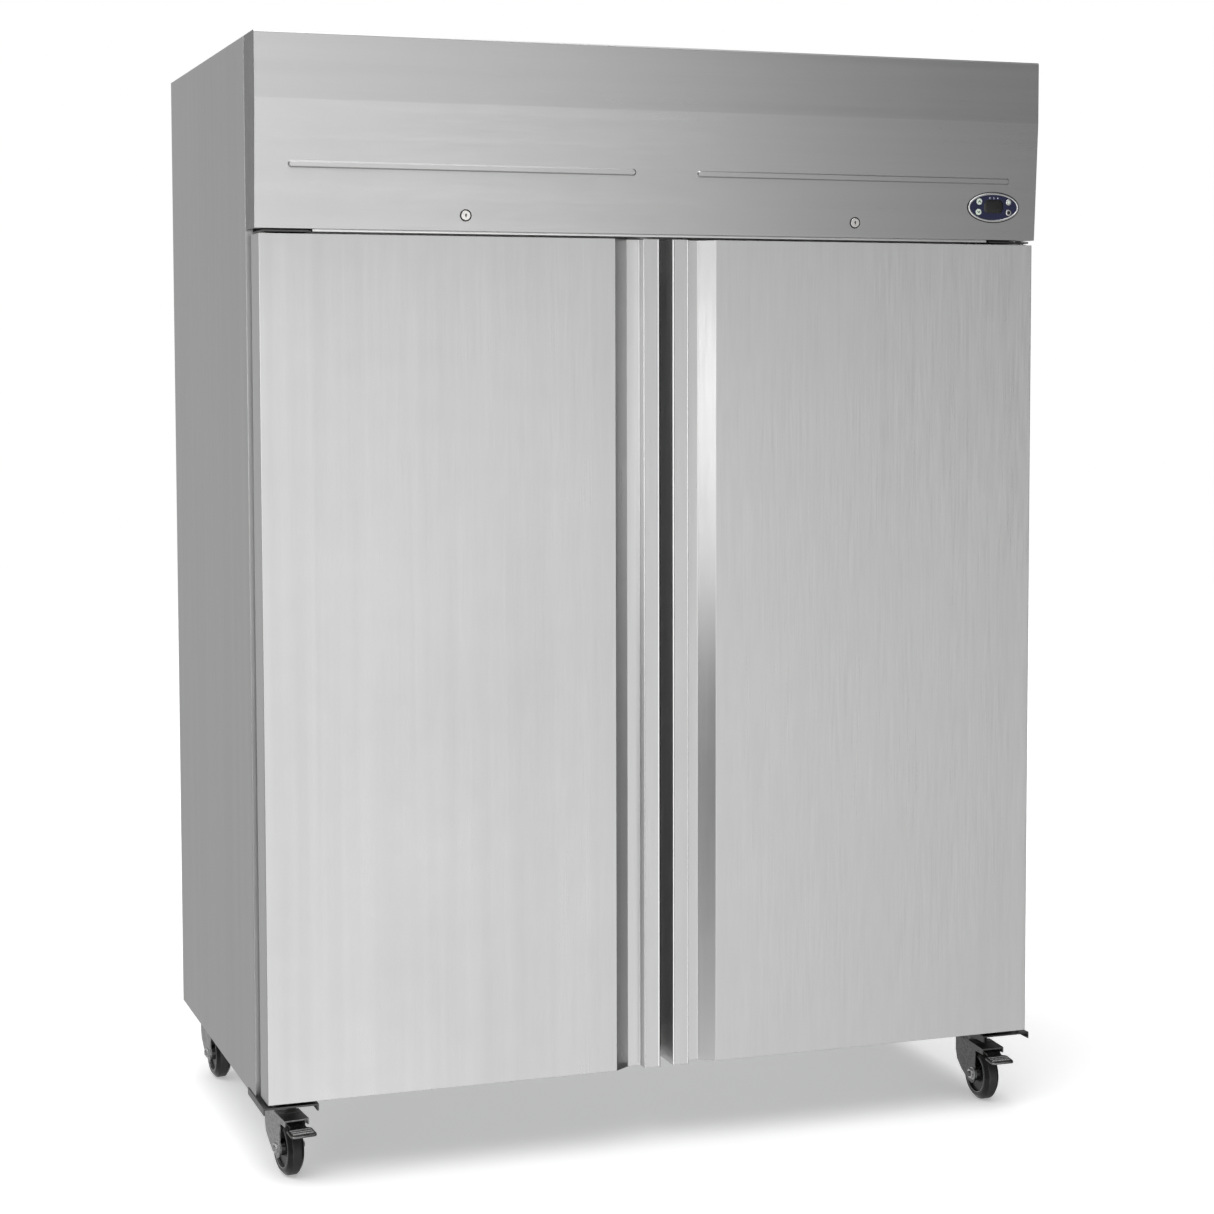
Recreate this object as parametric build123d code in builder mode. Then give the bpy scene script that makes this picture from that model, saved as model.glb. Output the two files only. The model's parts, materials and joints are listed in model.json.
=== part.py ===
"""Two-door reach-in refrigerator on casters, one STEP file for each separate piece.

Frame: origin on the floor under the middle of the cabinet, +X to the right of someone who
faces the doors, +Y towards the back, +Z up. All lengths are in millimetres.
"""
import os
from math import atan2, cos, radians, sin, tan

from build123d import *

os.makedirs("parts", exist_ok=True)

# ------------------------------------------------------------------ driving dimensions
cabinet_width = 1480.0
body_depth = 740.0
header_projection = 90.0
total_height = 1985.0
base_height = 146.0
wall_thickness = 60.0
deck_height = 1656.0
sheet = 1.0

side_lip = 6.0
side_flange = 25.0
hem_depth = 20.0

door_height = 1496.0
door_lift = 5.0
door_thickness = 62.0
door_gap = 18.0
door_inset = 6.0
door_free_edge = 12.0
handle_edge = 43.0
recess_foot = 68.0
slope_top = 96.0
recess_depth = 20.0
hinge_from_front = 20.0
hinge_x = 721.5

header_bend_height = 1873.0
header_lean = 13.0
header_rear_gap = 3.5
header_pivot_inset = 7.5
lock_x = 370.0
lock_height = 1683.0
control_x = 651.5
control_height = 1716.0
rib_height = 1764.0

caster_x = 686.4
caster_inset = 44.3
caster_trail = 40.0
wheel_radius = 50.0
wheel_width = 30.0
axle_radius = 5.0

# ------------------------------------------------------------------ levels and planes
half_width = cabinet_width / 2
body_front = -(body_depth + header_projection) / 2 + header_projection
body_back = body_front + body_depth
header_front = body_front - header_projection
floor_height = base_height + wall_thickness
cavity_x = half_width - wall_thickness
cavity_back = body_back - wall_thickness
cavity_top = deck_height - wall_thickness - side_lip
side_bottom = base_height - side_lip

door_bottom = base_height + door_lift
door_top = door_bottom + door_height
door_back = body_front - door_gap
door_front = door_back - door_thickness
door_hinge_edge = half_width - door_inset
recess_floor = door_front + recess_depth
hinge_y = door_front + hinge_from_front
pin_radius = 5.0
bush_radius = 8.0
running_gap = 0.08

header_angle = atan2(header_lean, header_bend_height - deck_height)
header_back = body_front - header_rear_gap
header_pivot_y = header_back - header_pivot_inset
header_pivot_z = total_height - header_pivot_inset + 0.5

SIDES = {"left": -1, "right": 1}
CASTERS = {
    "front_left": (-caster_x, body_front + caster_inset, 7.0),
    "front_right": (caster_x, body_front + caster_inset, 0.0),
    "rear_left": (-caster_x, body_back - caster_inset, 3.0),
    "rear_right": (caster_x, body_back - caster_inset, 5.0),
}


# ------------------------------------------------------------------ helpers
def write(piece, node):
    """Label a finished piece and write it to its own STEP file."""
    piece.part.label = node
    export_step(piece.part, f"parts/{node}.step")


def write_group(pieces, node):
    """Write solids that only touch each other as one node, without fusing them."""
    group = Compound(children=[piece.part for piece in pieces])
    group.label = node
    export_step(group, f"parts/{node}.step")


def block(x, y, z, mode=Mode.ADD):
    """Add or cut a rectangular block over the ranges x, y and z of the current part."""
    x, y, z = sorted(x), sorted(y), sorted(z)
    with Locations(((x[0] + x[1]) / 2, (y[0] + y[1]) / 2, (z[0] + z[1]) / 2)):
        Box(x[1] - x[0], y[1] - y[0], z[1] - z[0], mode=mode)


def rod(centre, radius, length, axis, mode=Mode.ADD):
    """Add or cut a round bar centred on a point, along the X, Y or Z axis."""
    turn = {"X": (0, 90, 0), "Y": (90, 0, 0), "Z": (0, 0, 0)}[axis]
    with Locations(Location(centre, turn)):
        Cylinder(radius, length, mode=mode)


def header_face(x, z):
    """Plane on the header's leaning front at (x, z), its normal pointing out of the panel."""
    y = header_front + (header_bend_height - z) * tan(header_angle)
    return Plane(origin=(x, y, z), x_dir=(1, 0, 0), z_dir=(0, -cos(header_angle), -sin(header_angle)))


# ------------------------------------------------------------------ outer cabinet
for side, sign in SIDES.items():
    with BuildPart() as side_panel:
        outer = sign * half_width
        block((outer, outer - sign * sheet), (body_front, body_back), (side_bottom, total_height))
        flange_z = (base_height, total_height - hem_depth)
        block((outer, outer - sign * side_flange), (body_front, body_front + sheet), flange_z)
        block((outer, outer - sign * side_lip), (body_front, body_back), (side_bottom, side_bottom + sheet))
        fold = side_panel.edges().filter_by(Axis.Z).group_by(Axis.Y)[0].sort_by(Axis.X)
        fillet(fold[0 if sign < 0 else -1], radius=sheet * 0.9)
    write(side_panel, f"side_panel_{side}")

inner_x = half_width - sheet
with BuildPart() as back_panel:
    block((-inner_x, inner_x), (body_back - sheet, body_back), (base_height, deck_height))
    with BuildSketch(Plane.XZ.offset(-body_back)):
        with GridLocations(0, deck_height / 3, 1, 2):
            with Locations((0, (base_height + deck_height) / 2)):
                SlotOverall(cabinet_width * 0.8, 14)
    extrude(amount=0.6, mode=Mode.SUBTRACT)
write(back_panel, "back_panel")

with BuildPart() as base_panel:
    block((-inner_x, inner_x), (body_front + sheet, body_back - sheet), (base_height, base_height + sheet))
write(base_panel, "base_panel")

vent_length = 150.0
vent_width = 8.0
with BuildPart() as roof_panel:
    block((-inner_x, inner_x), (body_front, body_back - sheet), (total_height - sheet, total_height))
    block((-inner_x, inner_x), (body_front, body_front + sheet), (total_height - hem_depth, total_height))
    with BuildSketch(Plane.XY.offset(total_height)):
        with Locations((control_x / 2 - 85, 60), (-control_x / 2 - 45, 60)):
            with GridLocations(vent_length + 25, 22, 2, 12):
                SlotOverall(vent_length, vent_width)
    extrude(amount=-2 * sheet, mode=Mode.SUBTRACT)
write(roof_panel, "roof_panel")

grille_centre = (240.0, (deck_height + total_height) / 2)
gland_x, gland_height = -600.0, deck_height + 60
gland_hole_radius = 10.0
with BuildPart() as rear_grille:
    block((-inner_x, inner_x), (body_back - sheet, body_back), (deck_height, total_height - sheet))
    with BuildSketch(Plane.XZ.offset(-body_back)):
        with Locations(grille_centre):
            with GridLocations(vent_length + 25, 20, 4, 11):
                SlotOverall(vent_length, vent_width)
        with Locations((gland_x, gland_height)):
            Circle(gland_hole_radius)
    extrude(amount=2 * sheet, mode=Mode.SUBTRACT)
write(rear_grille, "rear_grille")

# ------------------------------------------------------------------ insulated box
foam_front = body_front + sheet
foam_back = body_back - sheet
foam_bottom = base_height + sheet
foam_top = deck_height - sheet
liner_x = cavity_x + sheet
liner_back = cavity_back + sheet
liner_bottom = floor_height - sheet
liner_top = cavity_top + sheet
slabs = [
    ((-inner_x, inner_x), (foam_front, foam_back), (foam_bottom, liner_bottom)),
    ((-inner_x, inner_x), (foam_front, foam_back), (liner_top, foam_top)),
    ((-inner_x, -liner_x), (foam_front, foam_back), (liner_bottom, liner_top)),
    ((liner_x, inner_x), (foam_front, foam_back), (liner_bottom, liner_top)),
    ((-liner_x, liner_x), (liner_back, foam_back), (liner_bottom, liner_top)),
]
insulation = []
for x_range, y_range, z_range in slabs:
    with BuildPart() as slab:
        block(x_range, y_range, z_range)
    insulation.append(slab)
write_group(insulation, "wall_insulation")

with BuildPart() as cavity_space:
    block((-cavity_x, cavity_x), (foam_front, cavity_back), (floor_height, cavity_top))
    rounded = cavity_space.edges().filter_by(Axis.Y) + cavity_space.faces().sort_by(Axis.Y)[-1].edges()
    fillet(rounded, radius=12)
with BuildPart() as inner_liner:
    block((-liner_x, liner_x), (foam_front, liner_back), (liner_bottom, liner_top))
    add(cavity_space.part, mode=Mode.SUBTRACT)
write(inner_liner, "inner_liner")

frame_x = half_width - side_flange
with BuildPart() as face_frame:
    block((-frame_x, frame_x), (body_front, foam_front), (base_height, deck_height))
    with BuildSketch(Plane.XZ.offset(-body_front)):
        with Locations((0, (floor_height + cavity_top) / 2)):
            RectangleRounded(2 * cavity_x, cavity_top - floor_height, 12)
    extrude(amount=-2 * sheet, mode=Mode.SUBTRACT)
write(face_frame, "face_frame")

mullion_half = 33.0
mullion_depth = 60.0
with BuildPart() as centre_mullion:
    block((-mullion_half, mullion_half), (body_front, body_front + mullion_depth), (floor_height, cavity_top))
    fillet(centre_mullion.edges().filter_by(Axis.Z).group_by(Axis.Y)[-1], radius=8)
write(centre_mullion, "centre_mullion")

with BuildPart() as machine_deck:
    block((-inner_x, inner_x), (foam_front, foam_back), (foam_top, deck_height))
write(machine_deck, "machine_deck")

# ------------------------------------------------------------------ door hinges
bracket_inner = 645.0
bracket_outer = half_width + 2
bracket_rear = body_front + 59
bracket_plate = 3.0
bracket_flange = 9.0
top_plate_bottom = door_top + 3
top_plate_outer = hinge_x + 6
brackets = []
for sign in SIDES.values():
    with BuildPart() as lower_bracket:
        plate_top = base_height
        plate_bottom = plate_top - bracket_plate
        plate_z = (plate_bottom, plate_top)
        block((sign * bracket_inner, sign * bracket_outer), (door_front, body_front), plate_z)
        block((sign * bracket_inner, sign * (inner_x - 0.1)), (door_front, bracket_rear), plate_z)
        flange_z = (plate_bottom - bracket_flange, plate_top)
        inner_flange = (sign * bracket_inner, sign * (bracket_inner + bracket_plate))
        block(inner_flange, (door_front, body_front), flange_z)
        block((sign * half_width, sign * bracket_outer), (door_front, bracket_rear), flange_z)
        rod((sign * hinge_x, hinge_y, plate_bottom), pin_radius, 4 * bracket_plate, "Z", Mode.SUBTRACT)
    with BuildPart() as upper_bracket:
        across = (sign * bracket_inner, sign * top_plate_outer)
        block(across, (door_front + 2, body_front), (top_plate_bottom, top_plate_bottom + bracket_plate))
        block(across, (body_front - bracket_plate, body_front), (top_plate_bottom, top_plate_bottom + 40))
        rod((sign * hinge_x, hinge_y, top_plate_bottom), pin_radius, 4 * bracket_plate, "Z", Mode.SUBTRACT)
    with BuildPart() as header_lug:
        lug_x = (sign * (half_width - 7), sign * (half_width - 4))
        block(lug_x, (header_pivot_y - 5, body_front), (header_pivot_z - 5, header_pivot_z + 5))
        rod((sign * (half_width - 5), header_pivot_y, header_pivot_z), 3, 10, "X", Mode.SUBTRACT)
    brackets += [lower_bracket, upper_bracket, header_lug]
write_group(brackets, "hinge_brackets")

bush_length = 25.0
bush_flange = 1.5
collar_height = door_lift - bush_flange - 0.3
pins = []
for sign in SIDES.values():
    with BuildPart() as lower_pin:
        pin_bottom = base_height - bracket_plate
        pin_top = door_bottom + bush_length
        rod((sign * hinge_x, hinge_y, (pin_bottom + pin_top) / 2), pin_radius, pin_top - pin_bottom, "Z")
        rod((sign * hinge_x, hinge_y, base_height + collar_height / 2), bush_radius, collar_height, "Z")
        rod((sign * hinge_x, hinge_y, pin_bottom - 2), bush_radius - 1, 4, "Z")
    with BuildPart() as upper_pin:
        pin_bottom = door_top - bush_length
        pin_top = top_plate_bottom + bracket_plate
        rod((sign * hinge_x, hinge_y, (pin_bottom + pin_top) / 2), pin_radius, pin_top - pin_bottom, "Z")
    with BuildPart() as header_pivot:
        rod((sign * (half_width - 3.5), header_pivot_y, header_pivot_z), 3, 7, "X")
    pins += [lower_pin, upper_pin, header_pivot]
write_group(pins, "hinge_pins")


# ------------------------------------------------------------------ doors
def door_corners(sign, back):
    """Corners of the door's level section, from the free edge round to the hinge edge."""
    corners = [
        (door_free_edge, back), (door_free_edge, door_front), (handle_edge, door_front),
        (handle_edge, recess_floor), (recess_foot, recess_floor), (slope_top, door_front),
        (door_hinge_edge, door_front), (door_hinge_edge, back),
    ]
    return [(sign * x, y) for x, y in corners]


def cut_door_openings(sign, bush_gap):
    """Cut the hinge bush bores and the lock cam's slot out of the current door piece."""
    for end in (door_bottom, door_top):
        rod((sign * hinge_x, hinge_y, end), bush_radius + bush_gap, 2 * bush_length, "Z", Mode.SUBTRACT)
    slot_x = (sign * lock_x - 12, sign * lock_x + 42)
    block(slot_x, (cam_slot_y - 5, cam_slot_y + 5), (door_top - 18, door_top + 1), Mode.SUBTRACT)


cam_slot_y = -370.0
foam_slope_shift = sheet * tan(atan2(recess_depth, slope_top - recess_foot) / 2)
gasket_width = 20.0
gasket_free = door_free_edge + 2
gasket_hinge = hinge_x - 2.5
gasket_low = door_bottom + 9
gasket_high = door_top - 9
pan_margin = gasket_width + 6
pan_rise = 8.0
for side, sign in SIDES.items():
    with BuildPart() as door_skin:
        with BuildSketch(Plane.XY.offset(door_bottom)) as outline:
            with BuildLine():
                Polyline(*door_corners(sign, door_back), close=True)
            make_face()
            fillet(outline.vertices().group_by(Axis.Y)[1], radius=2.5)
            fillet(outline.vertices().group_by(Axis.Y)[0], radius=1.5)
        extrude(amount=door_height)
        with BuildSketch(Plane.XY.offset(door_bottom + sheet)):
            with BuildLine():
                Polyline(*door_corners(sign, door_back + sheet), close=True)
            make_face()
            offset(amount=-sheet, kind=Kind.INTERSECTION)
        extrude(amount=door_height - 2 * sheet, mode=Mode.SUBTRACT)
        cut_door_openings(sign, 0.2)
    write(door_skin, f"door_skin_{side}")

    inside_front = door_front + sheet
    inside_back = door_back - sheet
    inside_z = (door_bottom + sheet, door_top - sheet)
    foot = recess_foot + foam_slope_shift
    with BuildPart() as foam_main:
        with BuildSketch(Plane.XY.offset(inside_z[0])):
            with BuildLine():
                Polyline(
                    (sign * (door_hinge_edge - sheet), inside_front),
                    (sign * (slope_top + foam_slope_shift), inside_front),
                    (sign * foot, recess_floor + sheet), (sign * foot, inside_back),
                    (sign * (door_hinge_edge - sheet), inside_back), close=True,
                )
            make_face()
        extrude(amount=inside_z[1] - inside_z[0])
        cut_door_openings(sign, 0.0)
    with BuildPart() as foam_web:
        block((sign * (handle_edge - sheet), sign * foot), (recess_floor + sheet, inside_back), inside_z)
    with BuildPart() as foam_nose:
        nose_x = (sign * (door_free_edge + sheet), sign * (handle_edge - sheet))
        block(nose_x, (inside_front, inside_back), inside_z)
    pan_x = (sign * (gasket_free + pan_margin), sign * (gasket_hinge - pan_margin + 4))
    pan_z = (gasket_low + pan_margin, gasket_high - pan_margin)
    with BuildPart() as foam_pad:
        pad_x = (pan_x[0] + sign * sheet, pan_x[1] - sign * sheet)
        pad_y = (inside_back, door_back + pan_rise - sheet)
        pad_z = (pan_z[0] + sheet, pan_z[1] - sheet)
        block(pad_x, pad_y, pad_z)
    write_group([foam_main, foam_web, foam_nose, foam_pad], f"door_core_{side}")

    with BuildPart() as door_liner:
        block(pan_x, (inside_back, door_back + pan_rise), pan_z)
        fillet(door_liner.faces().sort_by(Axis.Y)[-1].edges(), radius=2)
        liner_span = (sign * (door_free_edge + sheet), sign * (door_hinge_edge - sheet))
        block(liner_span, (inside_back, door_back), inside_z)
        block(pad_x, pad_y, pad_z, Mode.SUBTRACT)
    write(door_liner, f"door_liner_{side}")

    seal_plane = body_front - 0.4
    gasket_mid = (sign * (gasket_free + gasket_hinge) / 2, (gasket_low + gasket_high) / 2)
    gasket_size = (gasket_hinge - gasket_free, gasket_high - gasket_low)
    with BuildPart() as door_gasket:
        for start, end, inset in ((door_back, door_back + 5, 0), (door_back + 5, seal_plane, 3)):
            with BuildSketch(Plane.XZ.offset(-start)):
                with Locations(gasket_mid):
                    RectangleRounded(gasket_size[0] - 2 * inset, gasket_size[1] - 2 * inset, 6)
                    inside = [side_length - 2 * (gasket_width - inset) for side_length in gasket_size]
                    RectangleRounded(*inside, 3, mode=Mode.SUBTRACT)
            extrude(amount=start - end)
        fillet(door_gasket.faces().sort_by(Axis.Y)[-1].edges(), radius=3)
    write(door_gasket, f"door_gasket_{side}")

    bushes = []
    for end, inward in ((door_bottom, 1), (door_top, -1)):
        with BuildPart() as bush:
            middle = end + inward * (bush_length - bush_flange) / 2
            rod((sign * hinge_x, hinge_y, middle), bush_radius, bush_length + bush_flange, "Z")
            flange_middle = end - inward * bush_flange / 2
            rod((sign * hinge_x, hinge_y, flange_middle), bush_radius + 2, bush_flange, "Z")
            bore = pin_radius + running_gap
            rod((sign * hinge_x, hinge_y, middle), bore, 2 * bush_length, "Z", Mode.SUBTRACT)
        bushes.append(bush)
    write_group(bushes, f"door_bushes_{side}")

# ------------------------------------------------------------------ header panel
rib_half_gap = 58.0
rib_end = 683.0
rib_width = 12.0
rib_rise = 4.0
lock_hole_radius = 10.5
bezel_x, bezel_z = 52.5, 27.0
with BuildPart() as header_panel:
    with BuildSketch(Plane.YZ.offset(-half_width)) as section:
        with BuildLine():
            Polyline(
                (header_back, deck_height), (header_front + header_lean, deck_height),
                (header_front, header_bend_height), (header_front, total_height),
                (header_back, total_height), close=True,
            )
        make_face()
        fillet(section.vertices().group_by(Axis.X)[0].sort_by(Axis.Y)[0], radius=30)
        fillet(section.vertices().group_by(Axis.X)[0].sort_by(Axis.Y)[-1], radius=4)
    extrude(amount=cabinet_width)
    offset(amount=-sheet, openings=header_panel.faces().sort_by(Axis.Y)[-1])
    below = (deck_height - 1, deck_height + 2 * sheet)
    block((-half_width + sheet, half_width - sheet), (door_front + 28, header_back + 1), below, Mode.SUBTRACT)
    for sign in SIDES.values():
        notch_y = (header_pivot_y - 10, header_back + 1)
        notch_z = (total_height - 2 * sheet, total_height + 1)
        block((sign * (half_width - sheet), sign * (half_width - 10)), notch_y, notch_z, Mode.SUBTRACT)
        rod((sign * half_width, header_pivot_y, header_pivot_z), 3 + running_gap, 6, "X", Mode.SUBTRACT)
        with BuildSketch(header_face(sign * (rib_half_gap + rib_end) / 2, rib_height)):
            SlotOverall(rib_end - rib_half_gap, rib_width)
        extrude(amount=rib_rise, taper=30)
        with BuildSketch(header_face(sign * lock_x, lock_height)):
            Circle(lock_hole_radius)
        extrude(amount=8, both=True, mode=Mode.SUBTRACT)
    with BuildSketch(header_face(control_x, control_height)):
        Ellipse(bezel_x - 5, bezel_z - 5)
    extrude(amount=8, both=True, mode=Mode.SUBTRACT)
write(header_panel, "header_panel")

cylinder_radius = 8.5
cam_depth = 33.0
cam_reach = 50.0
housings = []
for side, sign in SIDES.items():
    face = header_face(sign * lock_x, lock_height)
    with BuildPart() as housing:
        with BuildSketch(face.offset(-1.5)):
            Circle(lock_hole_radius - 0.1)
        extrude(amount=-24)
        with BuildSketch(face.offset(-sheet - 0.5)):
            Circle(lock_hole_radius + 4)
        extrude(amount=-4)
        with BuildSketch(face):
            Circle(cylinder_radius + running_gap)
        extrude(amount=-30, mode=Mode.SUBTRACT)
    housings.append(housing)
    with BuildPart() as lock_cylinder:
        with BuildSketch(face.offset(1.5)):
            Circle(cylinder_radius)
        extrude(amount=-1.5 - cam_depth + 3)
        fillet(lock_cylinder.faces().sort_by(Axis.Y)[0].edges(), radius=0.8)
        with BuildSketch(face.offset(-cam_depth)):
            with Locations(((cam_reach - 6) / 2, 0)):
                SlotCenterToCenter(cam_reach - 6, 12)
        extrude(amount=3)
        with BuildSketch(face.offset(1.5)):
            SlotOverall(4.5, 1.6, rotation=90)
        extrude(amount=-6, mode=Mode.SUBTRACT)
    write(lock_cylinder, f"lock_cylinder_{side}")
write_group(housings, "lock_housings")

# ------------------------------------------------------------------ control panel
bezel_rise = 3.0
button_radius = 5.8
button_travel = 1.5
button_places = [(-30, 10.5), (-31, -8.8), (31, 10), (31.5, -9.3)]
face = header_face(control_x, control_height)
with BuildPart() as control_bezel:
    with BuildSketch(face):
        Ellipse(bezel_x, bezel_z)
        Ellipse(bezel_x - 4, bezel_z - 4, mode=Mode.SUBTRACT)
    extrude(amount=bezel_rise)
    fillet(control_bezel.faces().sort_by(Axis.Y)[0].edges(), radius=1.2)
write(control_bezel, "control_bezel")

with BuildPart() as control_housing:
    with BuildSketch(face.offset(-20)):
        Ellipse(bezel_x - 5.2, bezel_z - 5.2)
    extrude(amount=20)
    with BuildSketch(face):
        Ellipse(bezel_x - 4.1, bezel_z - 4.1)
    extrude(amount=1.5)
    with BuildSketch(face.offset(1.5)):
        with Locations(*button_places):
            Circle(button_radius + 0.3)
    extrude(amount=-8, mode=Mode.SUBTRACT)
write(control_housing, "control_housing")

for number, (across, up) in enumerate(button_places, start=1):
    with BuildPart() as control_button:
        with BuildSketch(face.offset(-3)):
            with Locations((across, up)):
                Circle(button_radius)
        extrude(amount=6.2)
        fillet(control_button.faces().sort_by(Axis.Y)[0].edges(), radius=1)
    write(control_button, f"control_button_{number}")

# ------------------------------------------------------------------ casters
plate_bottom = base_height - bracket_plate - 4
race_bottom = 126.0
kingpin_radius = 6.0
with BuildPart() as caster_plates:
    for x, y, _ in CASTERS.values():
        block((x - 46, x + 46), (y - 40, y + 40), (plate_bottom, base_height - bracket_plate))
        shim_front = bracket_rear if y < 0 else y - 40
        block((x - 46, x + 46), (shim_front, y + 40), (plate_bottom, base_height))
        rod((x, y, (race_bottom + plate_bottom) / 2), 32, plate_bottom - race_bottom, "Z")
        rod((x, y, base_height), kingpin_radius + running_gap, 60, "Z", Mode.SUBTRACT)
write(caster_plates, "caster_plates")

leg_inside = wheel_width / 2 + 2.5
leg_thickness = 2.5
crown_top = 112.0
crown_bottom = 108.0
wheel_height = wheel_radius
leg_rear = -30.0
leg_front = caster_trail + 10
housing_rear = 30.0
housing_front = 86.0
housing_half = leg_inside + leg_thickness + 2.5
pedal_pivot = (76.0, 103.0)
pedal_front = 128.0
pedal_half = 24.0
for corner, (x, y, heading) in CASTERS.items():
    forward = (sin(radians(heading)), -cos(radians(heading)), 0)
    across = (cos(radians(heading)), sin(radians(heading)), 0)
    caster = Plane(origin=(x, y, 0), x_dir=forward, z_dir=(0, 0, 1))
    side_view = Plane(origin=(x, y, 0), x_dir=forward, z_dir=(-across[0], -across[1], 0))
    braked = corner.startswith("front")
    with BuildPart(caster) as caster_fork:
        with BuildSketch(side_view.offset(-leg_inside - leg_thickness)):
            with BuildLine():
                Polyline(
                    (leg_front, crown_top), (leg_rear, crown_top), (leg_rear, 80), (-24, 63),
                    (-6, 48), (16, 36), (32, 31),
                )
                ThreePointArc((32, 31), (caster_trail + 4, 33), (leg_front, 44))
                Line((leg_front, 44), (leg_front, crown_top))
            make_face()
        extrude(amount=2 * (leg_inside + leg_thickness))
        with BuildSketch(side_view.offset(-leg_inside)):
            with Locations(((leg_front + leg_rear) / 2, 0)):
                Rectangle(3 * wheel_radius, 2 * crown_bottom)
        extrude(amount=2 * leg_inside, mode=Mode.SUBTRACT)
        with Locations((0, 0, (crown_top + race_bottom - 0.5) / 2)):
            Cylinder(29, race_bottom - 0.5 - crown_top)
        with Locations((0, 0, (crown_top + base_height - 4) / 2)):
            Cylinder(kingpin_radius, base_height - 4 - crown_top)
        with BuildSketch(side_view.offset(-leg_inside - leg_thickness - 9)):
            with Locations((caster_trail, wheel_height)):
                Circle(axle_radius)
        extrude(amount=2 * (leg_inside + leg_thickness + 9))
        for start in (-leg_inside - leg_thickness - 6, leg_inside + leg_thickness):
            with BuildSketch(side_view.offset(start)):
                with Locations((caster_trail, wheel_height)):
                    RegularPolygon(8.5, 6)
            extrude(amount=6)
        if braked:
            with BuildSketch(side_view.offset(-housing_half)):
                with BuildLine():
                    Polyline(
                        (housing_rear, crown_top + 0.5), (housing_front, 109.5), (housing_front, 99),
                        (housing_rear, 99), close=True,
                    )
                make_face()
            extrude(amount=2 * housing_half)
            with BuildSketch(side_view.offset(-housing_half + 2.5)):
                with Locations((housing_front, 98)):
                    Rectangle(2 * (housing_front - leg_front) - 1, 18)
            extrude(amount=2 * housing_half - 5, mode=Mode.SUBTRACT)
            with BuildSketch(side_view.offset(-leg_inside)):
                with Locations((caster_trail, wheel_height)):
                    Rectangle(2 * (leg_front - leg_rear), 2 * (crown_bottom - wheel_height) - 2)
            extrude(amount=2 * leg_inside, mode=Mode.SUBTRACT)
            with BuildSketch(side_view.offset(-leg_inside - leg_thickness)):
                with Locations((caster_trail, wheel_height)):
                    Circle(axle_radius)
            extrude(amount=2 * (leg_inside + leg_thickness))
            with BuildSketch(side_view.offset(-housing_half)):
                with Locations(pedal_pivot):
                    Circle(2.5)
            extrude(amount=2 * housing_half)
    write(caster_fork, f"caster_fork_{corner}")

    hub_half = wheel_width / 2 + 2
    with BuildPart() as wheel:
        axle_middle = caster.from_local_coords((caster_trail, 0, wheel_height))
        radial = Plane(origin=axle_middle, x_dir=across, z_dir=forward)
        with BuildSketch(radial):
            with BuildLine():
                half = wheel_width / 2
                Polyline(
                    (-half + 7, wheel_radius), (half - 7, wheel_radius), (half, wheel_radius - 8), (half, 37),
                    (half - 5, 34), (half - 5, 15), (hub_half, 13), (hub_half, axle_radius + running_gap),
                    (-hub_half, axle_radius + running_gap), (-hub_half, 13), (-half + 5, 15),
                    (-half + 5, 34), (-half, 37), (-half, wheel_radius - 8), close=True,
                )
            make_face()
        revolve(axis=Axis(axle_middle, across))
        rims = wheel.edges().filter_by(GeomType.CIRCLE).filter_by(lambda edge: edge.radius > wheel_radius - 9)
        fillet(rims, radius=4)
    write(wheel, f"wheel_{corner}")

    if braked:
        with BuildPart() as brake_pedal:
            with BuildSketch(side_view.offset(-leg_inside + 0.5)):
                with BuildLine():
                    Polyline(
                        (pedal_pivot[0] - 6, 105.5), (housing_front, 105.5), (94, 104), (94, 99),
                        (pedal_pivot[0] - 6, 98.5), close=True,
                    )
                make_face()
            extrude(amount=2 * leg_inside - 1)
            with BuildSketch(side_view.offset(-pedal_half)):
                with BuildLine():
                    Polyline(
                        (housing_front + 3, 105), (pedal_front - 4, 99.5), (pedal_front, 97),
                        (pedal_front - 6, 94.5), (housing_front + 3, 100), close=True,
                    )
                make_face()
            extrude(amount=2 * pedal_half)
            for step in range(4):
                with BuildSketch(side_view.offset(-pedal_half + 4)):
                    with Locations((housing_front + 8 + 8.5 * step, 104 - 1.34 * step)):
                        Circle(1.5)
                extrude(amount=2 * pedal_half - 8)
            with BuildSketch(side_view.offset(-leg_inside)):
                with Locations(pedal_pivot):
                    Circle(2.5 + running_gap)
            extrude(amount=2 * leg_inside, mode=Mode.SUBTRACT)
        write(brake_pedal, f"brake_pedal_{corner}")

# ------------------------------------------------------------------ shelving
shelf_levels = (480.0, 800.0, 1120.0)
upright_size = (12.0, 25.0)
upright_y = (-200.0, 260.0)
upright_bottom = floor_height + 14
upright_top = 1440.0
upright_x = (-cavity_x + upright_size[0] / 2, 0, cavity_x - upright_size[0] / 2)
with BuildPart() as shelf_uprights:
    with BuildSketch(Plane.XY.offset(upright_bottom)):
        with Locations(*[(x, y) for x in upright_x for y in upright_y]):
            Rectangle(*upright_size)
    extrude(amount=upright_top - upright_bottom)
    for x in upright_x:
        for y in upright_y:
            with BuildSketch(Plane.YZ.offset(x - upright_size[0] / 2)):
                with Locations((y, (upright_bottom + upright_top) / 2)):
                    with GridLocations(0, 80, 1, 15):
                        SlotOverall(14, 4)
            extrude(amount=upright_size[0], mode=Mode.SUBTRACT)
    for y in upright_y:
        rod((0, y, (floor_height + upright_bottom) / 2), 5, upright_bottom - floor_height, "Z")
write(shelf_uprights, "shelf_uprights")

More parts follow.
